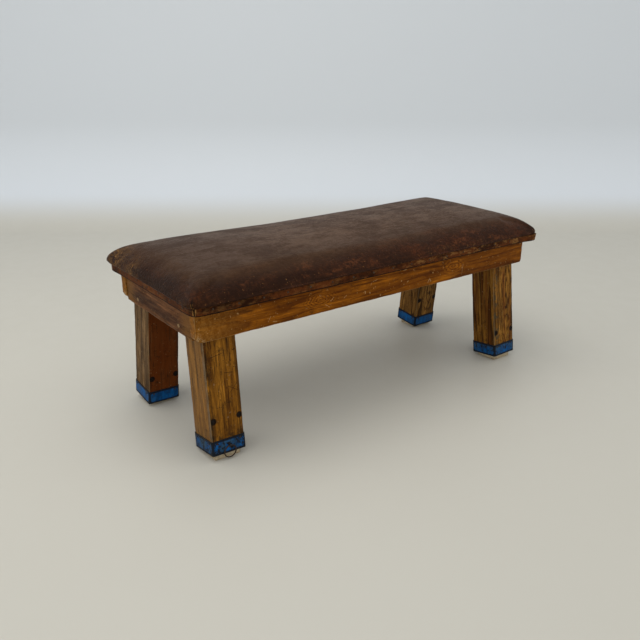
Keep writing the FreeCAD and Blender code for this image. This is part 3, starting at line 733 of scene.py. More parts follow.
def band_paint(name, blue, wear, shift):
    """Blue paint on sheet steel, with black edges and chips down to dark primer."""
    shader = Shader(name, specular=0.10)
    moved = shader.mapped(shader.attribute(GRAIN), shift=shift)
    rim_up = shader.axes(shader.attribute(RIM))[2]
    brush = shader.noise(moved, 55.0, 6.0, 0.7, stretch=(1.0, 1.0, 0.35))
    grey = shader.noise(moved, 22.0, 7.0, 0.72).ramp(0.42, 0.62)
    smear = shader.noise(moved, 118.0, 7.0, 0.78, stretch=(1.0, 1.0, 0.70))
    chip = smear.ramp(0.60 - 0.11 * wear, 0.66 - 0.11 * wear)
    wobble = (shader.noise(moved, 58.0, 5.0, 0.65) - 0.5) * (8 * MM)
    edge = (rim_up + wobble).ramp(4.2 * MM, 2.4 * MM)
    corner = (shader.arris(11 * MM) + wobble * 45.0).ramp(0.42, 0.62)
    base = shader.coats(toned(blue, 0.40),
                        (brush.ramp(0.34, 0.66), toned(blue, 1.20)),
                        (grey * wear * 0.75, (0.030, 0.062, 0.078)),
                        (chip * (0.55 + 0.45 * wear), (0.008, 0.009, 0.011)),
                        (shader.most(edge, corner) * 0.94, (0.006, 0.007, 0.009)))
    rough = brush.ramp(0.3, 0.7, 0.36, 0.55)
    return shader.finish(base, rough, brush * 0.7 - chip * 0.9, 0.5, 0.6 * MM)


def pad_wood(name):
    """Pale, dusty softwood wedges."""
    shader = Shader(name, specular=0.5)
    place = shader.attribute(GRAIN)
    fibre = shader.noise(place, 260.0, 4.0, 0.6, stretch=(0.08, 1.0, 1.0))
    cloud = shader.noise(place, 55.0, 5.0, 0.65)
    base = shader.coats((0.60, 0.50, 0.33),
                        (fibre.ramp(0.35, 0.7), (0.42, 0.31, 0.17)),
                        (cloud.ramp(0.5, 0.72) * 0.6, (0.16, 0.11, 0.06)),
                        (shader.arris(3 * MM) * 0.5, (0.20, 0.14, 0.08)))
    return shader.finish(base, 0.7, fibre, 0.35, 0.4 * MM)


def metal(name, bare, rust, rusted, roughness, metallic):
    """Wire, nails and screws: uneven, partly rusted metal."""
    shader = Shader(name, specular=0.15, metallic=metallic)
    place = shader.object_place()
    fine = shader.noise(place, 420.0, 5.0, 0.65)
    spots = shader.noise(place, 190.0, 5.0, 0.7).ramp(0.62 - 0.25 * rusted, 0.72 - 0.25 * rusted)
    base = shader.coats(toned(bare, 0.6), (fine.ramp(0.3, 0.7), bare), (spots * rusted, rust))
    rough = fine.ramp(0.3, 0.7, roughness - 0.08, roughness + 0.08) + spots * 0.25
    return shader.finish(base, rough, fine, 0.3, 0.3 * MM)


def studio_floor(name, floor, wall):
    """A pale floor that turns into the backdrop's colour as it climbs."""
    shader = Shader(name, specular=0.3)
    place = shader.object_place()
    base = shader.coats(toned(floor, 0.97), (shader.noise(place, 1.4, 4.0, 0.6), floor),
                        (shader.axes(place)[2].ramp(0.0, 0.16), wall))
    rough = shader.noise(place, 14.0, 5.0, 0.6).ramp(0.3, 0.7, 0.46, 0.56)
    return shader.finish(base, rough, shader.noise(place, 300.0, 3.0), 0.04, 0.3 * MM)


def shared(name, maker, *details):
    """A material made once and kept under its name."""
    return bpy.data.materials.get(name) or maker(name, *details)


# --- frame pieces --------------------------------------------------------------------------

def dulled_end(corner, shader, coords, base):
    """A long rail's left end: dry and mealy, with a bruised lower corner."""
    duller = shader.axes(coords)[0].ramp(-0.38, -0.575, 0.0, 0.52)
    mealy = shader.noise(coords, 95.0, 7.0, 0.78).ramp(0.40, 0.60)
    pale = shader.mix(mealy, (0.185, 0.070, 0.006), (0.360, 0.160, 0.026))
    bruise = shader.noise(coords, 130.0, 6.0, 0.75).ramp(0.46, 0.56)
    bruise = shader.spot(coords, corner, 0.008, 0.024) * bruise
    return shader.coats(base, (duller, pale), (bruise, (0.40, 0.25, 0.11)))


def ochre_ends(shader, coords, base):
    """An end rail's two ends, yellower than its middle."""
    near_end = abs(shader.axes(coords)[1]).ramp(0.118, 0.165, 0.0, 0.75)
    return shader.mix(near_end, base, (0.165, 0.070, 0.014))


def long_rail(side_name, side, settings):
    """A long rail: round lower corners, rubbed edges, ragged ends."""
    seed, shift, knots, scratches = RAIL_WOODS[side_name]
    low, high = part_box(f"long_rail_{side_name}")
    mesh = cuboid(low, high)
    for end, radius in ((-1, settings.worn_corner), (1, settings.crisp_corner)):
        edges = [edge for edge in mesh.edges
                 if all(abs(vert.co.z - low.z) < TOUCHING and vert.co.x * end > high.x - TOUCHING
                        for vert in edge.verts)]
        bevel_edges(mesh, edges, radius, 7)
    bevel_arrises(mesh, settings.arris, 3)
    divide(mesh, low, high, RAIL_CELLS)
    store_grain(mesh, low, high)
    wear_down(mesh, settings.wear, 30.0, seed)
    for vert in mesh.verts:
        past = abs(vert.co.x) - (high.x - RAGGED_REACH)
        if past > 0:
            bite = abs(noise.fractal(vert.co * 95.0, 0.7, 2.0, 4)) * RAGGED_BITE
            vert.co.x -= math.copysign(bite * min(1.0, past / (8 * MM)), vert.co.x)
    outer = low.y if side < 0 else high.y
    knots = [((across, outer, up), radius, turns) for across, up, radius, turns in knots]
    # the rail's top, under the leather's overhang, gets a painted shade band
    finish = wood(f"varnished_rail_{side_name}", "X", settings.rail_light, settings.rail_dark, 15.0,
                  (0.0, 0.0, shift), contrast=0.45, stain=0.62, grime=0.45, nicks=0.8,
                  worn=(0.42, 0.24, 0.09), worn_width=2.2 * MM, knots=knots, scratches=scratches,
                  tint=partial(dulled_end, low), overhang_shade_height=RAIL_HIGH.z)
    finish_piece(mesh, f"rail_{side_name}", finish, "bench",
                 (f"long_rail_{side_name}",))


def end_rail(end_name, end, settings):
    """An end rail, which stands between the long rails."""
    low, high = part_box(f"end_rail_{end_name}")
    mesh = cuboid(low, high)
    bevel_arrises(mesh, 1.2 * MM, 2)
    divide(mesh, low, high, END_RAIL_CELLS)
    store_grain(mesh, low, high)
    wear_down(mesh, 0.6 * MM, 34.0, 9.0 + end)
    # the rail's top, under the leather's overhang, gets a painted shade band
    finish = wood(f"varnished_end_{end_name}", "Y", settings.end_light, settings.end_dark, 9.0,
                  (0.0, 2.0 + end, 0.0), stain=0.85, grime=0.45, nicks=0.7,
                  worn=(0.27, 0.150, 0.060), worn_width=2.2 * MM, tint=ochre_ends,
                  overhang_shade_height=RAIL_HIGH.z)
    finish_piece(mesh, f"rail_{end_name}", finish, "bench",
                 (f"end_rail_{end_name}",))


class BENCH_OT_rails(bpy.types.Operator):
    """Make the long rails and end rails with their worn edges"""
    bl_idname = "bench.rails"
    bl_label = "Rails"

    def execute(self, context):
        settings = context.scene.bench_frame
        for side_name, side in SIDES:
            long_rail(side_name, side, settings)
        for end_name, end in ENDS:
            end_rail(end_name, end, settings)
        return {"FINISHED"}


# --- posts ---------------------------------------------------------------------------------

def post_frame(name, end, side, settings):
    """Where a post stands: the middle of its lower end, leaning out."""
    low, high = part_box(f"foot_pad_{name}")
    middle = (low + high) / 2
    turn = (Matrix.Rotation(-end * settings.lean_end, 4, "Y")
            @ Matrix.Rotation(side * settings.lean_side, 4, "X"))
    return Matrix.Translation((middle.x, middle.y, settings.foot)) @ turn


def bore_holes(mesh, half, radius, pins):
    """Sink a round cup into both side faces round each pin."""
    cell = radius * 1.25
    for along, height in pins:
        slice_at(mesh, 0, (along - cell, along + cell))
        slice_at(mesh, 2, (height - cell, height + cell))
    for along, height in pins:
        for side in (-1, 1):
            centre = Vector((along, side * half, height))
            inside = [face for face in mesh.faces
                      if abs(face.calc_center_median().y - centre.y) < 1 * MM
                      and abs(face.calc_center_median().x - along) < cell
                      and abs(face.calc_center_median().z - height) < cell]
            patch = bmesh.ops.dissolve_faces(mesh, faces=inside)["region"][0]
            while len(patch.verts) < 16:
                edge = max(patch.edges, key=lambda item: item.calc_length())
                bmesh.ops.subdivide_edges(mesh, edges=[edge], cuts=1)
                patch = min(mesh.faces, key=lambda face: (face.calc_center_median() - centre).length)
            bmesh.ops.inset_individual(mesh, faces=[patch], thickness=0.6 * MM)
            for vert in patch.verts:
                flat = Vector((vert.co.x - along, 0.0, vert.co.z - height))
                vert.co = centre + flat.normalized() * radius
                vert.co.y = centre.y
            cup = bmesh.ops.extrude_discrete_faces(mesh, faces=[patch])["faces"][0]
            bmesh.ops.translate(mesh, verts=cup.verts, vec=(0, -side * BORE_DEPTH, 0))


def post_length(top, settings):
    """The length of a leaning post that surely reaches past a height."""
    return (top - settings.foot) / math.cos(settings.lean_side) + settings.side / 2


def store_post_grain(mesh, low, high):
    """Keep a post's grain, with its ends too far away to be worn."""
    store_grain(mesh, low - Vector((0, 0, 1)), high + Vector((0, 0, 1)))


def post_body(end, side, where, settings, pins):
    """The visible length of a post, cut level under the rails."""
    half = settings.side / 2
    low, high = Vector((-half, -half, 0)), Vector((half, half, post_length(RAIL_LOW.z, settings)))
    mesh = cuboid(low, high)
    bevel_edges(mesh, upright_edges(mesh, half), settings.arris, 4)
    bore_holes(mesh, half, settings.bore / 2, pins)
    divide(mesh, low, high, POST_CELLS)
    store_post_grain(mesh, low, high)
    wear_down(mesh, settings.wear, 26.0, 3.0 + end + 2 * side, 0.35 * MM)
    mesh.transform(where)
    clip(mesh, Vector((0, 0, RAIL_LOW.z)), Vector((0, 0, 1)))
    return mesh


def post_head(end, side, where, settings):
    """The part of a post between the rails, trimmed to just inside their inner faces."""
    half = settings.side / 2
    low = Vector((-half, -half, settings.head_start))
    high = Vector((half, half, post_length(RAIL_HIGH.z, settings)))
    mesh = cuboid(low, high)
    divide(mesh, low, high, HEAD_CELLS)
    store_post_grain(mesh, low, high)
    mesh.transform(where)
    clip(mesh, Vector((0, 0, RAIL_HIGH.z - HEAD_ROOM)), Vector((0, 0, 1)))
    clip(mesh, Vector((0, 0, RAIL_LOW.z - HEAD_ROOM / 2)), Vector((0, 0, -1)))
    clip(mesh, Vector((0, side * (SIDE_INNER - HEAD_ROOM), 0)), Vector((0, side, 0)))
    clip(mesh, Vector((end * (END_INNER - HEAD_ROOM), 0, 0)), Vector((end, 0, 0)))
    return mesh


def low_face(part, half):
    """1 on the post's face at the lower end of an axis, and 0 on the others."""
    return part.ramp(-half + 1.5 * MM, -half + 0.5 * MM)


def sheltered_face(half, shader, coords, base):
    """The back left post: fresh red wood on the face under the bench."""
    inner = low_face(shader.axes(coords)[1], half)
    return shader.mix(inner * 0.85, base, (0.105, 0.021, 0.0012))


def weathered_faces(half, shader, coords, base):
    """The front left post: cracked and stained in front, bleached and greyed at its outer side."""
    across, deep, up = shader.axes(coords)
    outer = low_face(across, half)
    front = low_face(deep, half)
    ragged = shader.noise(coords, 52.0, 7.0, 0.75, stretch=(1.0, 1.0, 0.30))
    stain = front * across.ramp(-half + 17 * MM, -half + 3 * MM) * ragged.ramp(0.44, 0.56) * 0.9
    foot = up.ramp(0.075, 0.040) * shader.noise(coords, 60.0, 6.0, 0.75).ramp(0.40, 0.58) * 0.75
    grey = outer * deep.ramp(-half + 13 * MM, -half + 4 * MM) * ragged.ramp(0.40, 0.52) * 0.7
    cracked = shader.strokes(across, up, POST_CRACKS) * front * 0.85
    bleached = outer * grey.inverse()
    grain = shader.noise(coords, 120.0, 5.0, 0.7, stretch=(1.0, 1.0, 0.05)).ramp(0.50, 0.64)
    return shader.coats(base,
                        (shader.most(stain, foot), (0.014, 0.008, 0.004)),
                        (grey, (0.20, 0.145, 0.095)),
                        (cracked, (0.012, 0.006, 0.003)),
                        (bleached * 0.42, (0.250, 0.132, 0.046)),
                        (bleached * grain * 0.7, (0.075, 0.036, 0.012)))


def mouldy_face(half, shader, coords, base):
    """The front right post: red bands, and mould along the left edge of its front."""
    across, deep, _ = shader.axes(coords)
    band = shader.noise(coords, 85.0, 2.0, 0.5, stretch=(1.0, 1.0, 0.02)).ramp(0.52, 0.62)
    mould = across.ramp(-half + 34 * MM, -half + 8 * MM) * low_face(deep, half)
    mould = mould * shader.noise(coords, 42.0, 6.0, 0.75).ramp(0.50, 0.60)
    return shader.coats(base, (band * 0.45, (0.130, 0.030, 0.004)),
                        (mould * 0.85, (0.030, 0.034, 0.022)))


POST_TINTS = {"back_left": sheltered_face, "front_left": weathered_faces, "front_right": mouldy_face}


class BENCH_OT_posts(bpy.types.Operator):
    """Make the four leaning posts with their bored cross pins"""
    bl_idname = "bench.posts"
    bl_label = "Posts"

    def execute(self, context):
        settings = context.scene.bench_posts
        half = settings.side / 2
        for name, end, side in POSTS:
            where = post_frame(name, end, side, settings)
            pins = [(step * PIN_OFFSET, PIN_HEIGHTS[name]) for step in (-1, 1)]
            mesh = join([post_body(end, side, where, settings, pins),
                         post_head(end, side, where, settings)])
            light, dark, shift, lines, contrast, stain, knots = POST_WOODS[name]
            stains = [(Vector((along, face * half, height)), 0.62 * settings.bore)
                      for along, height in pins for face in (-1, 1)]
            tint = partial(POST_TINTS[name], half) if name in POST_TINTS else None
            finish = wood(f"varnished_post_{name}", "Z", light, dark, lines, shift, contrast, stain,
                          worn=(0.33, 0.235, 0.130), worn_width=2.8 * MM,
                          dirt_and_shade=(0.014, 0.009, 0.004), knots=knots, pins=stains, tint=tint)
            finish_piece(mesh, f"post_{name}", finish, "bench", (f"leg_{name}",))
        return {"FINISHED"}


class BENCH_OT_bands(bpy.types.Operator):
    """Make the blue shoe bands round the posts' feet"""
    bl_idname = "bench.bands"
    bl_label = "Shoe bands"

    def execute(self, context):
        settings = context.scene.bench_posts
        half = settings.side / 2 + settings.band_thick
        low, high = Vector((-half, -half, 0)), Vector((half, half, settings.band_height))
        for name, end, side in POSTS:
            mesh = cuboid(low, high)
            caps = [face for face in mesh.faces if abs(face.normal.z) > 0.9]
            bmesh.ops.delete(mesh, geom=caps, context="FACES_ONLY")
            corners = [edge for edge in mesh.edges if not edge.is_boundary]
            bevel_edges(mesh, corners, settings.arris + settings.band_thick, 5)
            divide(mesh, low, high, BAND_CELLS)
            rim = store_grain(mesh, low, high)
            shift = Vector((end * 2.0, side * 3.0, 0))
            mesh.normal_update()
            for vert in mesh.verts:
                dent = noise.noise(vert.co * 34.0 + shift) * 0.35 * MM
                lip = max(0.0, 1.0 - vert[rim].z / (3 * MM)) * noise.noise(vert.co * 60.0 + shift)
                vert.co += vert.normal * (dent + lip * 0.4 * MM - 0.1 * MM)
                vert.co.z += lip * 0.5 * MM
            bmesh.ops.solidify(mesh, geom=mesh.faces[:], thickness=settings.band_thick * 0.8)
            mesh.transform(post_frame(name, end, side, settings))
            face_outward(mesh)
            finish = band_paint(f"blue_band_{name}", settings.band_colour, BAND_WEAR[name],
                                (end * 1.5, side * 0.7, 0.3))
            finish_piece(mesh, f"band_{name}", finish, "bench", (f"leg_band_{name}",))
        return {"FINISHED"}


class BENCH_OT_pads(bpy.types.Operator):
    """Make the pale wedges between the posts and the floor"""
    bl_idname = "bench.pads"
    bl_label = "Foot pads"

    def execute(self, context):
        settings = context.scene.bench_posts
        finish = shared("pale_wedge", pad_wood)
        for name, end, side in POSTS:
            low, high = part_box(f"foot_pad_{name}")
            where = post_frame(name, end, side, settings)
            mesh = cuboid(low, high)
            bevel_edges(mesh, upright_edges(mesh, 1 * MM), 3.5 * MM, 4)
            clip(mesh, where.translation, where.to_3x3() @ Vector((0, 0, 1)))
            bevel_arrises(mesh, 0.7 * MM, 2)
            divide(mesh, low, high, PAD_CELLS)
            rim = store_grain(mesh, low, high)
            for vert in mesh.verts:
                if vert.co.z > 1 * MM:
                    rub = abs(noise.noise(vert.co * 70.0)) * 0.6 * MM
                    for axis in (0, 1):
                        if vert[rim][axis] < 4 * MM:
                            centre = (low[axis] + high[axis]) / 2
                            vert.co[axis] -= math.copysign(rub, vert.co[axis] - centre)
            finish_piece(mesh, f"pad_{name}", finish, "bench", (f"foot_pad_{name}",))
        return {"FINISHED"}


# --- leather top ---------------------------------------------------------------------------

def plan_corner(x, y, half_x, half_y, shoulder, power):
    """A point of a rectangle drawn into the same rectangle with rounded plan corners."""
    a = unit(1.0 - (half_x - abs(x)) / shoulder)
    b = unit(1.0 - (half_y - abs(y)) / shoulder)
    if a > 0.0 and b > 0.0:
        scale = max(a, b) / (a ** power + b ** power) ** (1.0 / power)
        x = math.copysign(half_x - shoulder * (1.0 - a * scale), x)
        y = math.copysign(half_y - shoulder * (1.0 - b * scale), y)
    return x, y, max(a, b)


def near_corner(corner, x, y, half_x, half_y, reach):
    """1 at a corner of a rectangle, fading out over a reach."""
    away = (x - corner[0] * half_x) ** 2 + (y - corner[1] * half_y) ** 2
    return math.exp(-away / reach ** 2)


def rubbed_rounder(x, y):
    """1 towards the right end, where the corners are rubbed rounder, most of all at the back."""
    return unit(x / 0.45) * (1.0 if y > 0 else 0.6)


def roll_places(half, shoulder, steps):
    """Cuts that crowd towards the edge, where the roll-over is steep."""
    angles = [math.pi / 2 * index / steps for index in range(steps)]
    cuts = [half - shoulder * (1.0 - math.sin(turn)) for turn in angles]
    return [-cut for cut in cuts] + cuts


def cushion_block(base, half_x, half_y, settings):
    """An open box up to the cushion's widest line, cut finely enough to be shaped."""
    mesh = cuboid((-half_x, -half_y, base), (half_x, half_y, settings.widest))
    slice_at(mesh, 2, (base + 6 * MM, base + 12 * MM, CREASE - 1.5 * MM, CREASE,
                       CREASE + 1.2 * MM, CREASE + 2.6 * MM))
    for axis, half in ((0, half_x), (1, half_y)):
        slice_at(mesh, axis, roll_places(half, settings.shoulder, 11))
        reach = half - settings.shoulder
        slice_at(mesh, axis, even(-reach, reach, CUSHION_CELL))
    bottom = [face for face in mesh.faces if face.normal.z < -0.9]
    bmesh.ops.delete(mesh, geom=bottom, context="FACES")
    return mesh


def top_lift(x, y, edge, half_x, half_y, settings):
    """How far the top of the cushion stands over its widest line."""
    if edge >= 1.0:
        return 0.0
    roll = math.sqrt(max(0.0, 1.0 - edge * edge))
    crown = settings.crown * (1.0 - (y / half_y) ** 2) * (1.0 - (abs(x) / half_x) ** 4)
    lift = settings.rise * roll + crown - settings.sag * (1.0 - (x / half_x) ** 2)
    for middle, width, height in HUMPS:
        lift += roll * height * math.exp(-((x - middle) / width) ** 2)
    lift -= 1.2 * MM * unit((x - 0.515) / (50 * MM)) * roll
    uneven = noise.fractal(Vector((x * 3.1, y * 5.3, 0.4)), 0.9, 2.0, 3) * 1.3 * MM
    return lift + (1.0 - 0.6 * edge ** 6) * uneven


def cushion_mesh(settings):
    """The stuffed top: crowned, rolled over at the edges, hollow where it sits on the deck."""
    neck_x = DECK_HALF_X + settings.hide_thick
    neck_y = DECK_HALF_Y + settings.hide_thick
    half_x, half_y = COVER_HIGH.x + settings.ease, COVER_HIGH.y + settings.ease
    mesh = cushion_block(COVER_LOW.z + HEM_ROOM, half_x, half_y, settings)
    pinned = mesh.verts.layers.float.new("pinned")
    for vert in mesh.verts:
        x, y, level = vert.co
        on_top = abs(level - settings.widest) < TOUCHING
        level = min(level, settings.widest)
        tuck, rounder = 1.0, 0.0
        if level > CREASE:
            tuck -= unit((level - CREASE) / (settings.widest - CREASE))
            tuck = 1.0 - math.sqrt(max(0.0, 1.0 - tuck * tuck))
            rounder = rubbed_rounder(x, y)
        if level > CREASE + 0.1 * MM:
            for corner, _, _, loose in CORNER_SLUMPS:
                tuck *= 1.0 - loose * near_corner(corner, x, y, half_x, half_y, SLUMP_REACH)
        over = CREASE_STEP * unit((level - CREASE) / (1.2 * MM))
        around_x = half_x - tuck * (half_x - neck_x - over)
        around_y = half_y - tuck * (half_y - neck_y - over)
        x, y, edge = plan_corner(x * around_x / half_x, y * around_y / half_y, around_x, around_y,
                                 settings.shoulder, settings.squareness * (1.0 - 0.45 * rounder))
        z, free = level, unit((level - CREASE) / (6 * MM))
        if on_top:
            z, free = settings.widest + top_lift(x, y, edge, half_x, half_y, settings), 1.0
        x -= free * settings.bow * (1.0 - (y / half_y) ** 2) * x / half_x
        y -= free * settings.bow * (1.0 - (x / half_x) ** 2) * y / half_y
        for corner, push, drop, _ in CORNER_SLUMPS:
            near = near_corner(corner, x, y, half_x, half_y, SLUMP_REACH)
            x += corner[0] * push * free * near
            z -= drop * near * unit((z - CREASE) / BULGE)
        vert.co = Vector((x, y, z))
        vert[pinned] = 1.0 if z < CREASE + 1.5 * MM else 0.0
    return mesh


def inflate(piece, cap):
    """Let the stuffing press the hide out for a few frames, and keep a limited part of it."""
    still = piece.data.copy()
    group = piece.vertex_groups.new(name="nailed")
    for index, item in enumerate(still.attributes["pinned"].data):
        if item.value > 0.0:
            group.add([index], item.value, "REPLACE")
    cloth = piece.modifiers.new("stuffing", "CLOTH")
    cloth.settings.vertex_group_mass = "nailed"
    cloth.settings.use_pressure = True
    cloth.settings.uniform_pressure_force = 4.0
    cloth.settings.effector_weights.gravity = 0.0
    cloth.settings.tension_stiffness = 25.0
    cloth.settings.compression_stiffness = 25.0
    cloth.settings.bending_stiffness = 8.0
    cloth.settings.quality = 4
    scene = bpy.context.scene
    for number in range(1, CLOTH_FRAMES + 1):
        scene.frame_set(number)
    posed = piece.evaluated_get(bpy.context.evaluated_depsgraph_get()).data
    places = [vert.co.copy() for vert in posed.vertices]
    piece.modifiers.remove(cloth)
    scene.frame_set(1)
    for vert, place, rest in zip(piece.data.vertices, places, still.vertices):
        move = place - rest.co
        if move.length > cap:
            move = move.normalized() * cap
        vert.co = rest.co + move
    piece.vertex_groups.clear()
    bpy.data.meshes.remove(still)


def tack_pull(point):
    """How far the tacks, corner pleats and corner seams draw the hide in."""
    x, y, z = point
    from_end, from_side = COVER_HIGH.x - abs(x), COVER_HIGH.y - abs(y)
    side = max(0.0, 1.0 - (z - CREASE) / BULGE) if z > CREASE else 0.0
    along = x if abs(y) / COVER_HIGH.y > abs(x) / COVER_HIGH.x else y
    tug = 0.5 - 0.5 * math.cos(2 * math.pi * along / TACK_PITCH)
    near = math.hypot(from_end, from_side)
    pleat = math.exp(-(near / (42 * MM)) ** 2) * math.cos(math.atan2(from_side, from_end) * PLEAT_TURNS)
    seam = math.exp(-((from_end - from_side) / (3 * MM)) ** 2) * max(0.0, 1.0 - near / (30 * MM))
    pull = side * (0.7 * MM * tug + 0.5 * MM * noise.noise(point * 28.0) + 1.1 * MM * pleat)
    pull += seam * 1.6 * MM * (1.0 if z < SEAM_TOP else 0.0)
    return pull + noise.fractal(point * 11.0, 0.8, 2.0, 3) * 0.25 * MM


def turn_under(mesh, thick):
    """Give the hide its thickness along the lower rim, and close it over the deck."""
    rim = [edge for edge in mesh.edges if edge.is_boundary]
    inner = bmesh.ops.extrude_edge_only(mesh, edges=rim)["geom"]
    for vert in (item for item in inner if isinstance(item, bmesh.types.BMVert)):
        for axis in (0, 1):
            if abs(vert.co[axis]) > COVER_HIGH[axis] - 60 * MM:
                vert.co[axis] -= math.copysign(thick, vert.co[axis])
    edges = [item for item in inner if isinstance(item, bmesh.types.BMEdge) and item.is_boundary]
    roof = bmesh.ops.extrude_edge_only(mesh, edges=edges)["geom"]
    for vert in (item for item in roof if isinstance(item, bmesh.types.BMVert)):
        vert.co.z = DECK_TOP + DECK_ROOM
    close_holes(mesh)


def refine_cushion(piece, settings):
    """After the stuffing: one subdivision, corner pleats, tack pulls, and the leather's thickness."""
    mesh = bmesh.new()
    mesh.from_mesh(piece.data)
    bmesh.ops.subdivide_edges(mesh, edges=mesh.edges[:], cuts=1, smooth=0.35, use_grid_fill=True)
    mesh.normal_update()
    apply_moves(mesh, [vert.normal * -tack_pull(vert.co) for vert in mesh.verts])
    turn_under(mesh, settings.hide_thick - HEM_ROOM)
    face_outward(mesh)
    mesh.to_mesh(piece.data)
    mesh.free()
    for face in piece.data.polygons:
        face.use_smooth = True


class BENCH_OT_top(bpy.types.Operator):
    """Make the stuffed leather top and let its stuffing swell"""
    bl_idname = "bench.top"
    bl_label = "Leather top"

    def execute(self, context):
        settings = context.scene.bench_top
        finish = hide("old_hide", settings.top_colour, settings.side_colour, settings.scuff_colour)
        piece = finish_piece(cushion_mesh(settings), "leather_top", finish, "bench",
                             ("leather_cover", "padding"))
        inflate(piece, settings.swell)
        refine_cushion(piece, settings)
        return {"FINISHED"}


def edge_strip(name, sign, settings, finish):
    """A leather strip along one side, bent round half of each corner."""
    along_side = name in ("front", "back")
    neck_x = DECK_HALF_X + settings.hide_thick + STRIP_ROOM
    neck_y = DECK_HALF_Y + settings.hide_thick + STRIP_ROOM
    low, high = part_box(f"edge_strip_{name}")
    tall = high.z - low.z
    reach = (neck_x if along_side else neck_y) - HALF_SLIT
    outward = Vector((0, sign, 0)) if along_side else Vector((sign, 0, 0))
    shift = Vector((sign * 4.0, 9.0 if along_side else 2.0, 0))
    mesh = bmesh.new()
    bmesh.ops.create_grid(mesh, x_segments=round(2 * reach / STRIP_CELL), y_segments=6, size=1.0)
    grain = mesh.verts.layers.float_vector.new(GRAIN)
    rim = mesh.verts.layers.float_vector.new(RIM)
    for vert in mesh.verts:
        u, v = vert.co.x * reach, (vert.co.y + 1) / 2
        away = sign * (neck_y if along_side else neck_x)
        x, y = (u, away) if along_side else (away, u)
        x, y, _ = plan_corner(x, y, neck_x, neck_y, settings.shoulder, settings.squareness)
        vert[grain] = Vector((u, v * tall, 0))
        vert[rim] = Vector((reach - abs(u), 1.0, min(v, 1 - v) * tall))
        wave = noise.noise(Vector((u * 16, v * 0.6, 0)) + shift) * (v - 0.35) * 1.0 * MM
        lift = abs(noise.noise(Vector((u * 9, v * 2.0, 3)) + shift)) * 0.25 * MM
        curl = max(0.0, 1.0 - (reach - abs(u)) / (10 * MM)) ** 2 * 1.2 * MM
        vert.co = Vector((x, y, low.z + DECK_ROOM + v * (tall - DECK_ROOM) + wave))
        vert.co += outward * (0.2 * MM + lift + curl)
        for corner, push in STRIP_FLARES:
            near = near_corner(corner, x, y, neck_x, neck_y, FLARE_REACH)
            vert.co += Vector(corner + (0,)) * near * push * (0.8 + 0.2 * v)
    mesh.normal_update()
    facing = sum((face.normal for face in mesh.faces), Vector())
    if facing.dot(outward) < 0:
        bmesh.ops.reverse_faces(mesh, faces=mesh.faces[:])
    bmesh.ops.solidify(mesh, geom=mesh.faces[:], thickness=-(settings.hide_thick - 0.4 * MM))
    face_outward(mesh)
    finish_piece(mesh, f"strip_{name}", finish, "bench", (f"edge_strip_{name}",))


class BENCH_OT_strips(bpy.types.Operator):
    """Make the four leather strips nailed round the edge"""
    bl_idname = "bench.strips"
    bl_label = "Edge strips"

    def execute(self, context):
        settings = context.scene.bench_top
        finish = strip_leather("strip_hide", settings.strip_colour, settings.scuff_colour)
        for name, sign in SIDES + ENDS:
            edge_strip(name, sign, settings, finish)
        return {"FINISHED"}


# --- ring and fittings ---------------------------------------------------------------------

DARK_IRON = ((0.060, 0.052, 0.046), (0.060, 0.024, 0.010), 0.7, 0.52, 0.7)
PIN_IRON = ((0.011, 0.008, 0.006), (0.022, 0.010, 0.004), 0.5, 0.85, 0.0)
TACK_IRON = ((0.085, 0.060, 0.042), (0.055, 0.028, 0.014), 0.6, 0.5, 0.6)
WORN_STEEL = ((0.36, 0.23, 0.11), (0.10, 0.05, 0.02), 0.45, 0.7, 0.1)
DECK_WOOD = ("X", (0.42, 0.29, 0.15), (0.27, 0.17, 0.08))
BEARER_WOOD = ("Y", (0.38, 0.25, 0.12), (0.22, 0.13, 0.06))


class BENCH_OT_ring(bpy.types.Operator):
    """Make the wire ring, bent round with a small gap between its ends"""
    bl_idname = "bench.ring"
    bl_label = "Ring"

    def execute(self, context):
        settings = context.scene.bench_ring
        low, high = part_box("ring")
        centre = (low + high) / 2
        first = (Matrix.Translation(centre) @ Matrix.Rotation(math.radians(140), 4, "Y")
                 @ Matrix.Rotation(settings.gap / 2, 4, "Y")
                 @ Matrix.Translation((settings.radius, 0, 0)))
        mesh = bmesh.new()
        made = bmesh.ops.create_circle(mesh, cap_ends=False, segments=14, radius=settings.wire / 2,
                                       matrix=first)
        edges = list({edge for vert in made["verts"] for edge in vert.link_edges})
        bmesh.ops.spin(mesh, geom=made["verts"] + edges, cent=centre, axis=(0, 1, 0),
                       angle=-(2 * math.pi - settings.gap), steps=72)
        close_holes(mesh)
        face_outward(mesh)
        for vert in mesh.verts:
            vert.co += vert.normal * noise.noise(vert.co * 260.0) * 0.12 * MM
        finish = shared("aged_iron", metal, *DARK_IRON)
        finish_piece(mesh, "hanging_ring", finish, "ring", ("ring",))
        return {"FINISHED"}


def plain_boards(name, along, light, dark):
    return wood(name, along, light, dark, 6.0, stain=0.3, sawn=False)


FITTINGS = (
    (("leg_pins",), "aged_pins", metal, PIN_IRON),
    (("band_nails", "ring_staple"), "aged_iron", metal, DARK_IRON),
    (("strip_tacks_front", "strip_tacks_back", "strip_tacks_left", "strip_tacks_right"),
     "aged_tacks", metal, TACK_IRON),
    (("end_rail_screws", "bearer_screws", "deck_screws", "pad_screws"), "aged_screws", metal, WORN_STEEL),
    (("deck_board_1", "deck_board_2", "deck_board_3"), "plain_deck", plain_boards, DECK_WOOD),
    (("bearer_left", "bearer_middle", "bearer_right", "leg_dowels", "corner_dowels", "bearer_dowels"),
     "plain_bearers", plain_boards, BEARER_WOOD),
)


class BENCH_OT_fittings(bpy.types.Operator):
    """Give the CAD fasteners, bearers and deck boards their finishes"""
    bl_idname = "bench.fittings"
    bl_label = "Fittings"

    def execute(self, context):
        for names, finish_name, maker, details in FITTINGS:
            finish = shared(finish_name, maker, *details)
            for name in names:
                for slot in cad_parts[name].material_slots:
                    slot.material = finish
        return {"FINISHED"}


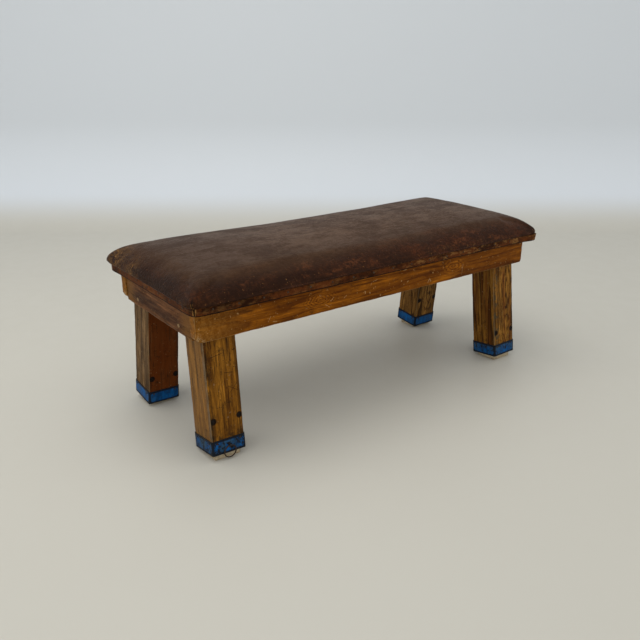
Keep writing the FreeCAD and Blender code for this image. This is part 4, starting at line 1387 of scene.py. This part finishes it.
# --- stage ---------------------------------------------------------------------------------

def softbox(name, place, aim, width, depth, power, tint=(1.0, 1.0, 1.0)):
    """A soft rectangular light that points at a place."""
    lamp = bpy.data.lights.new(name, "AREA")
    lamp.shape = "RECTANGLE"
    lamp.size = width
    lamp.size_y = depth
    lamp.energy = power
    lamp.color = tint
    item = bpy.data.objects.new(name, lamp)
    item.location = place
    item.rotation_euler = (Vector(aim) - Vector(place)).to_track_quat("-Z", "Y").to_euler()
    bpy.context.scene.collection.objects.link(item)


def cove_mesh(settings):
    """A floor that bends up into a backdrop behind the bench, as the camera sees it."""
    mesh = bmesh.new()
    bmesh.ops.create_grid(mesh, x_segments=1, y_segments=1, size=COVE_HALF)
    back = [vert for vert in mesh.verts if vert.co.y > 0]
    edge = [edge for edge in mesh.edges if all(vert in back for vert in edge.verts)]
    wall = bmesh.ops.extrude_edge_only(mesh, edges=edge)["geom"]
    top = [item for item in wall if isinstance(item, bmesh.types.BMVert)]
    bmesh.ops.translate(mesh, verts=top, vec=(0, 0, COVE_HEIGHT))
    for vert in back + top:
        vert.co.y = settings.wall_away
    bend = [edge for edge in mesh.edges if len(edge.link_faces) == 2]
    bevel_edges(mesh, bend, COVE_BEND, COVE_BEND_STEPS)
    mesh.transform(Matrix.Rotation(-settings.heading, 4, "Z"))
    return mesh


class BENCH_OT_stage(bpy.types.Operator):
    """Set up the floor, backdrop, soft light and camera"""
    bl_idname = "bench.stage"
    bl_label = "Stage"

    def execute(self, context):
        settings = context.scene.bench_stage
        finish = studio_floor("studio_cove", settings.floor_colour, settings.wall_colour)
        floor = link_mesh(cove_mesh(settings), "studio_cove", finish)

        world = bpy.data.worlds.new("studio")
        world.use_nodes = True
        sky = world.node_tree.nodes["Background"]
        sky.inputs["Color"].default_value = (0.95, 0.98, 1.0, 1.0)
        sky.inputs["Strength"].default_value = settings.sky
        context.scene.world = world
        softbox("overhead", (-0.5, 0.2, 2.6), (0, 0, 0.2), 1.9, 1.5, settings.light, (1.0, 0.985, 0.96))
        softbox("window", (-2.3, 0.9, 1.8), (0, 0, 0.25), 1.8, 1.4, 0.35 * settings.light)

        lens = bpy.data.cameras.new("camera")
        lens.lens = settings.lens
        lens.sensor_width = 36.0
        camera = bpy.data.objects.new("camera", lens)
        camera.location = settings.camera
        camera.rotation_euler = Euler((math.pi / 2 - settings.dip, 0.0, -settings.heading))
        context.scene.collection.objects.link(camera)
        context.scene.camera = camera
        context.scene.view_settings.view_transform = "Standard"
        return {"FINISHED"}


# --- panel and registration ----------------------------------------------------------------

OPERATORS = (BENCH_OT_rails, BENCH_OT_posts, BENCH_OT_bands, BENCH_OT_pads, BENCH_OT_top,
             BENCH_OT_strips, BENCH_OT_ring, BENCH_OT_fittings, BENCH_OT_stage)
GROUPS = (("bench_top", BenchTopSettings), ("bench_frame", BenchFrameSettings),
          ("bench_posts", BenchPostSettings), ("bench_ring", BenchRingSettings),
          ("bench_stage", BenchStageSettings))


class BENCH_PT_panel(bpy.types.Panel):
    """Lists the bench's pieces in the order in which they are made"""
    bl_idname = "BENCH_PT_panel"
    bl_label = "Gymnasium bench"
    bl_space_type = "VIEW_3D"
    bl_region_type = "UI"
    bl_category = "Bench"

    def draw(self, context):
        for operator in OPERATORS:
            self.layout.operator(operator.bl_idname)


def register():
    for _, group in GROUPS:
        bpy.utils.register_class(group)
    for item in OPERATORS + (BENCH_PT_panel,):
        bpy.utils.register_class(item)
    for name, group in GROUPS:
        setattr(bpy.types.Scene, name, bpy.props.PointerProperty(type=group))


def unregister():
    for name, _ in GROUPS:
        delattr(bpy.types.Scene, name)
    for item in (BENCH_PT_panel,) + OPERATORS[::-1]:
        bpy.utils.unregister_class(item)
    for _, group in GROUPS:
        bpy.utils.unregister_class(group)


def main():
    register()
    bpy.ops.bench.rails()
    bpy.ops.bench.posts()
    bpy.ops.bench.bands()
    bpy.ops.bench.pads()
    bpy.ops.bench.top()
    bpy.ops.bench.strips()
    bpy.ops.bench.ring()
    bpy.ops.bench.fittings()
    bpy.ops.bench.stage()


if __name__ == "__main__":
    main()
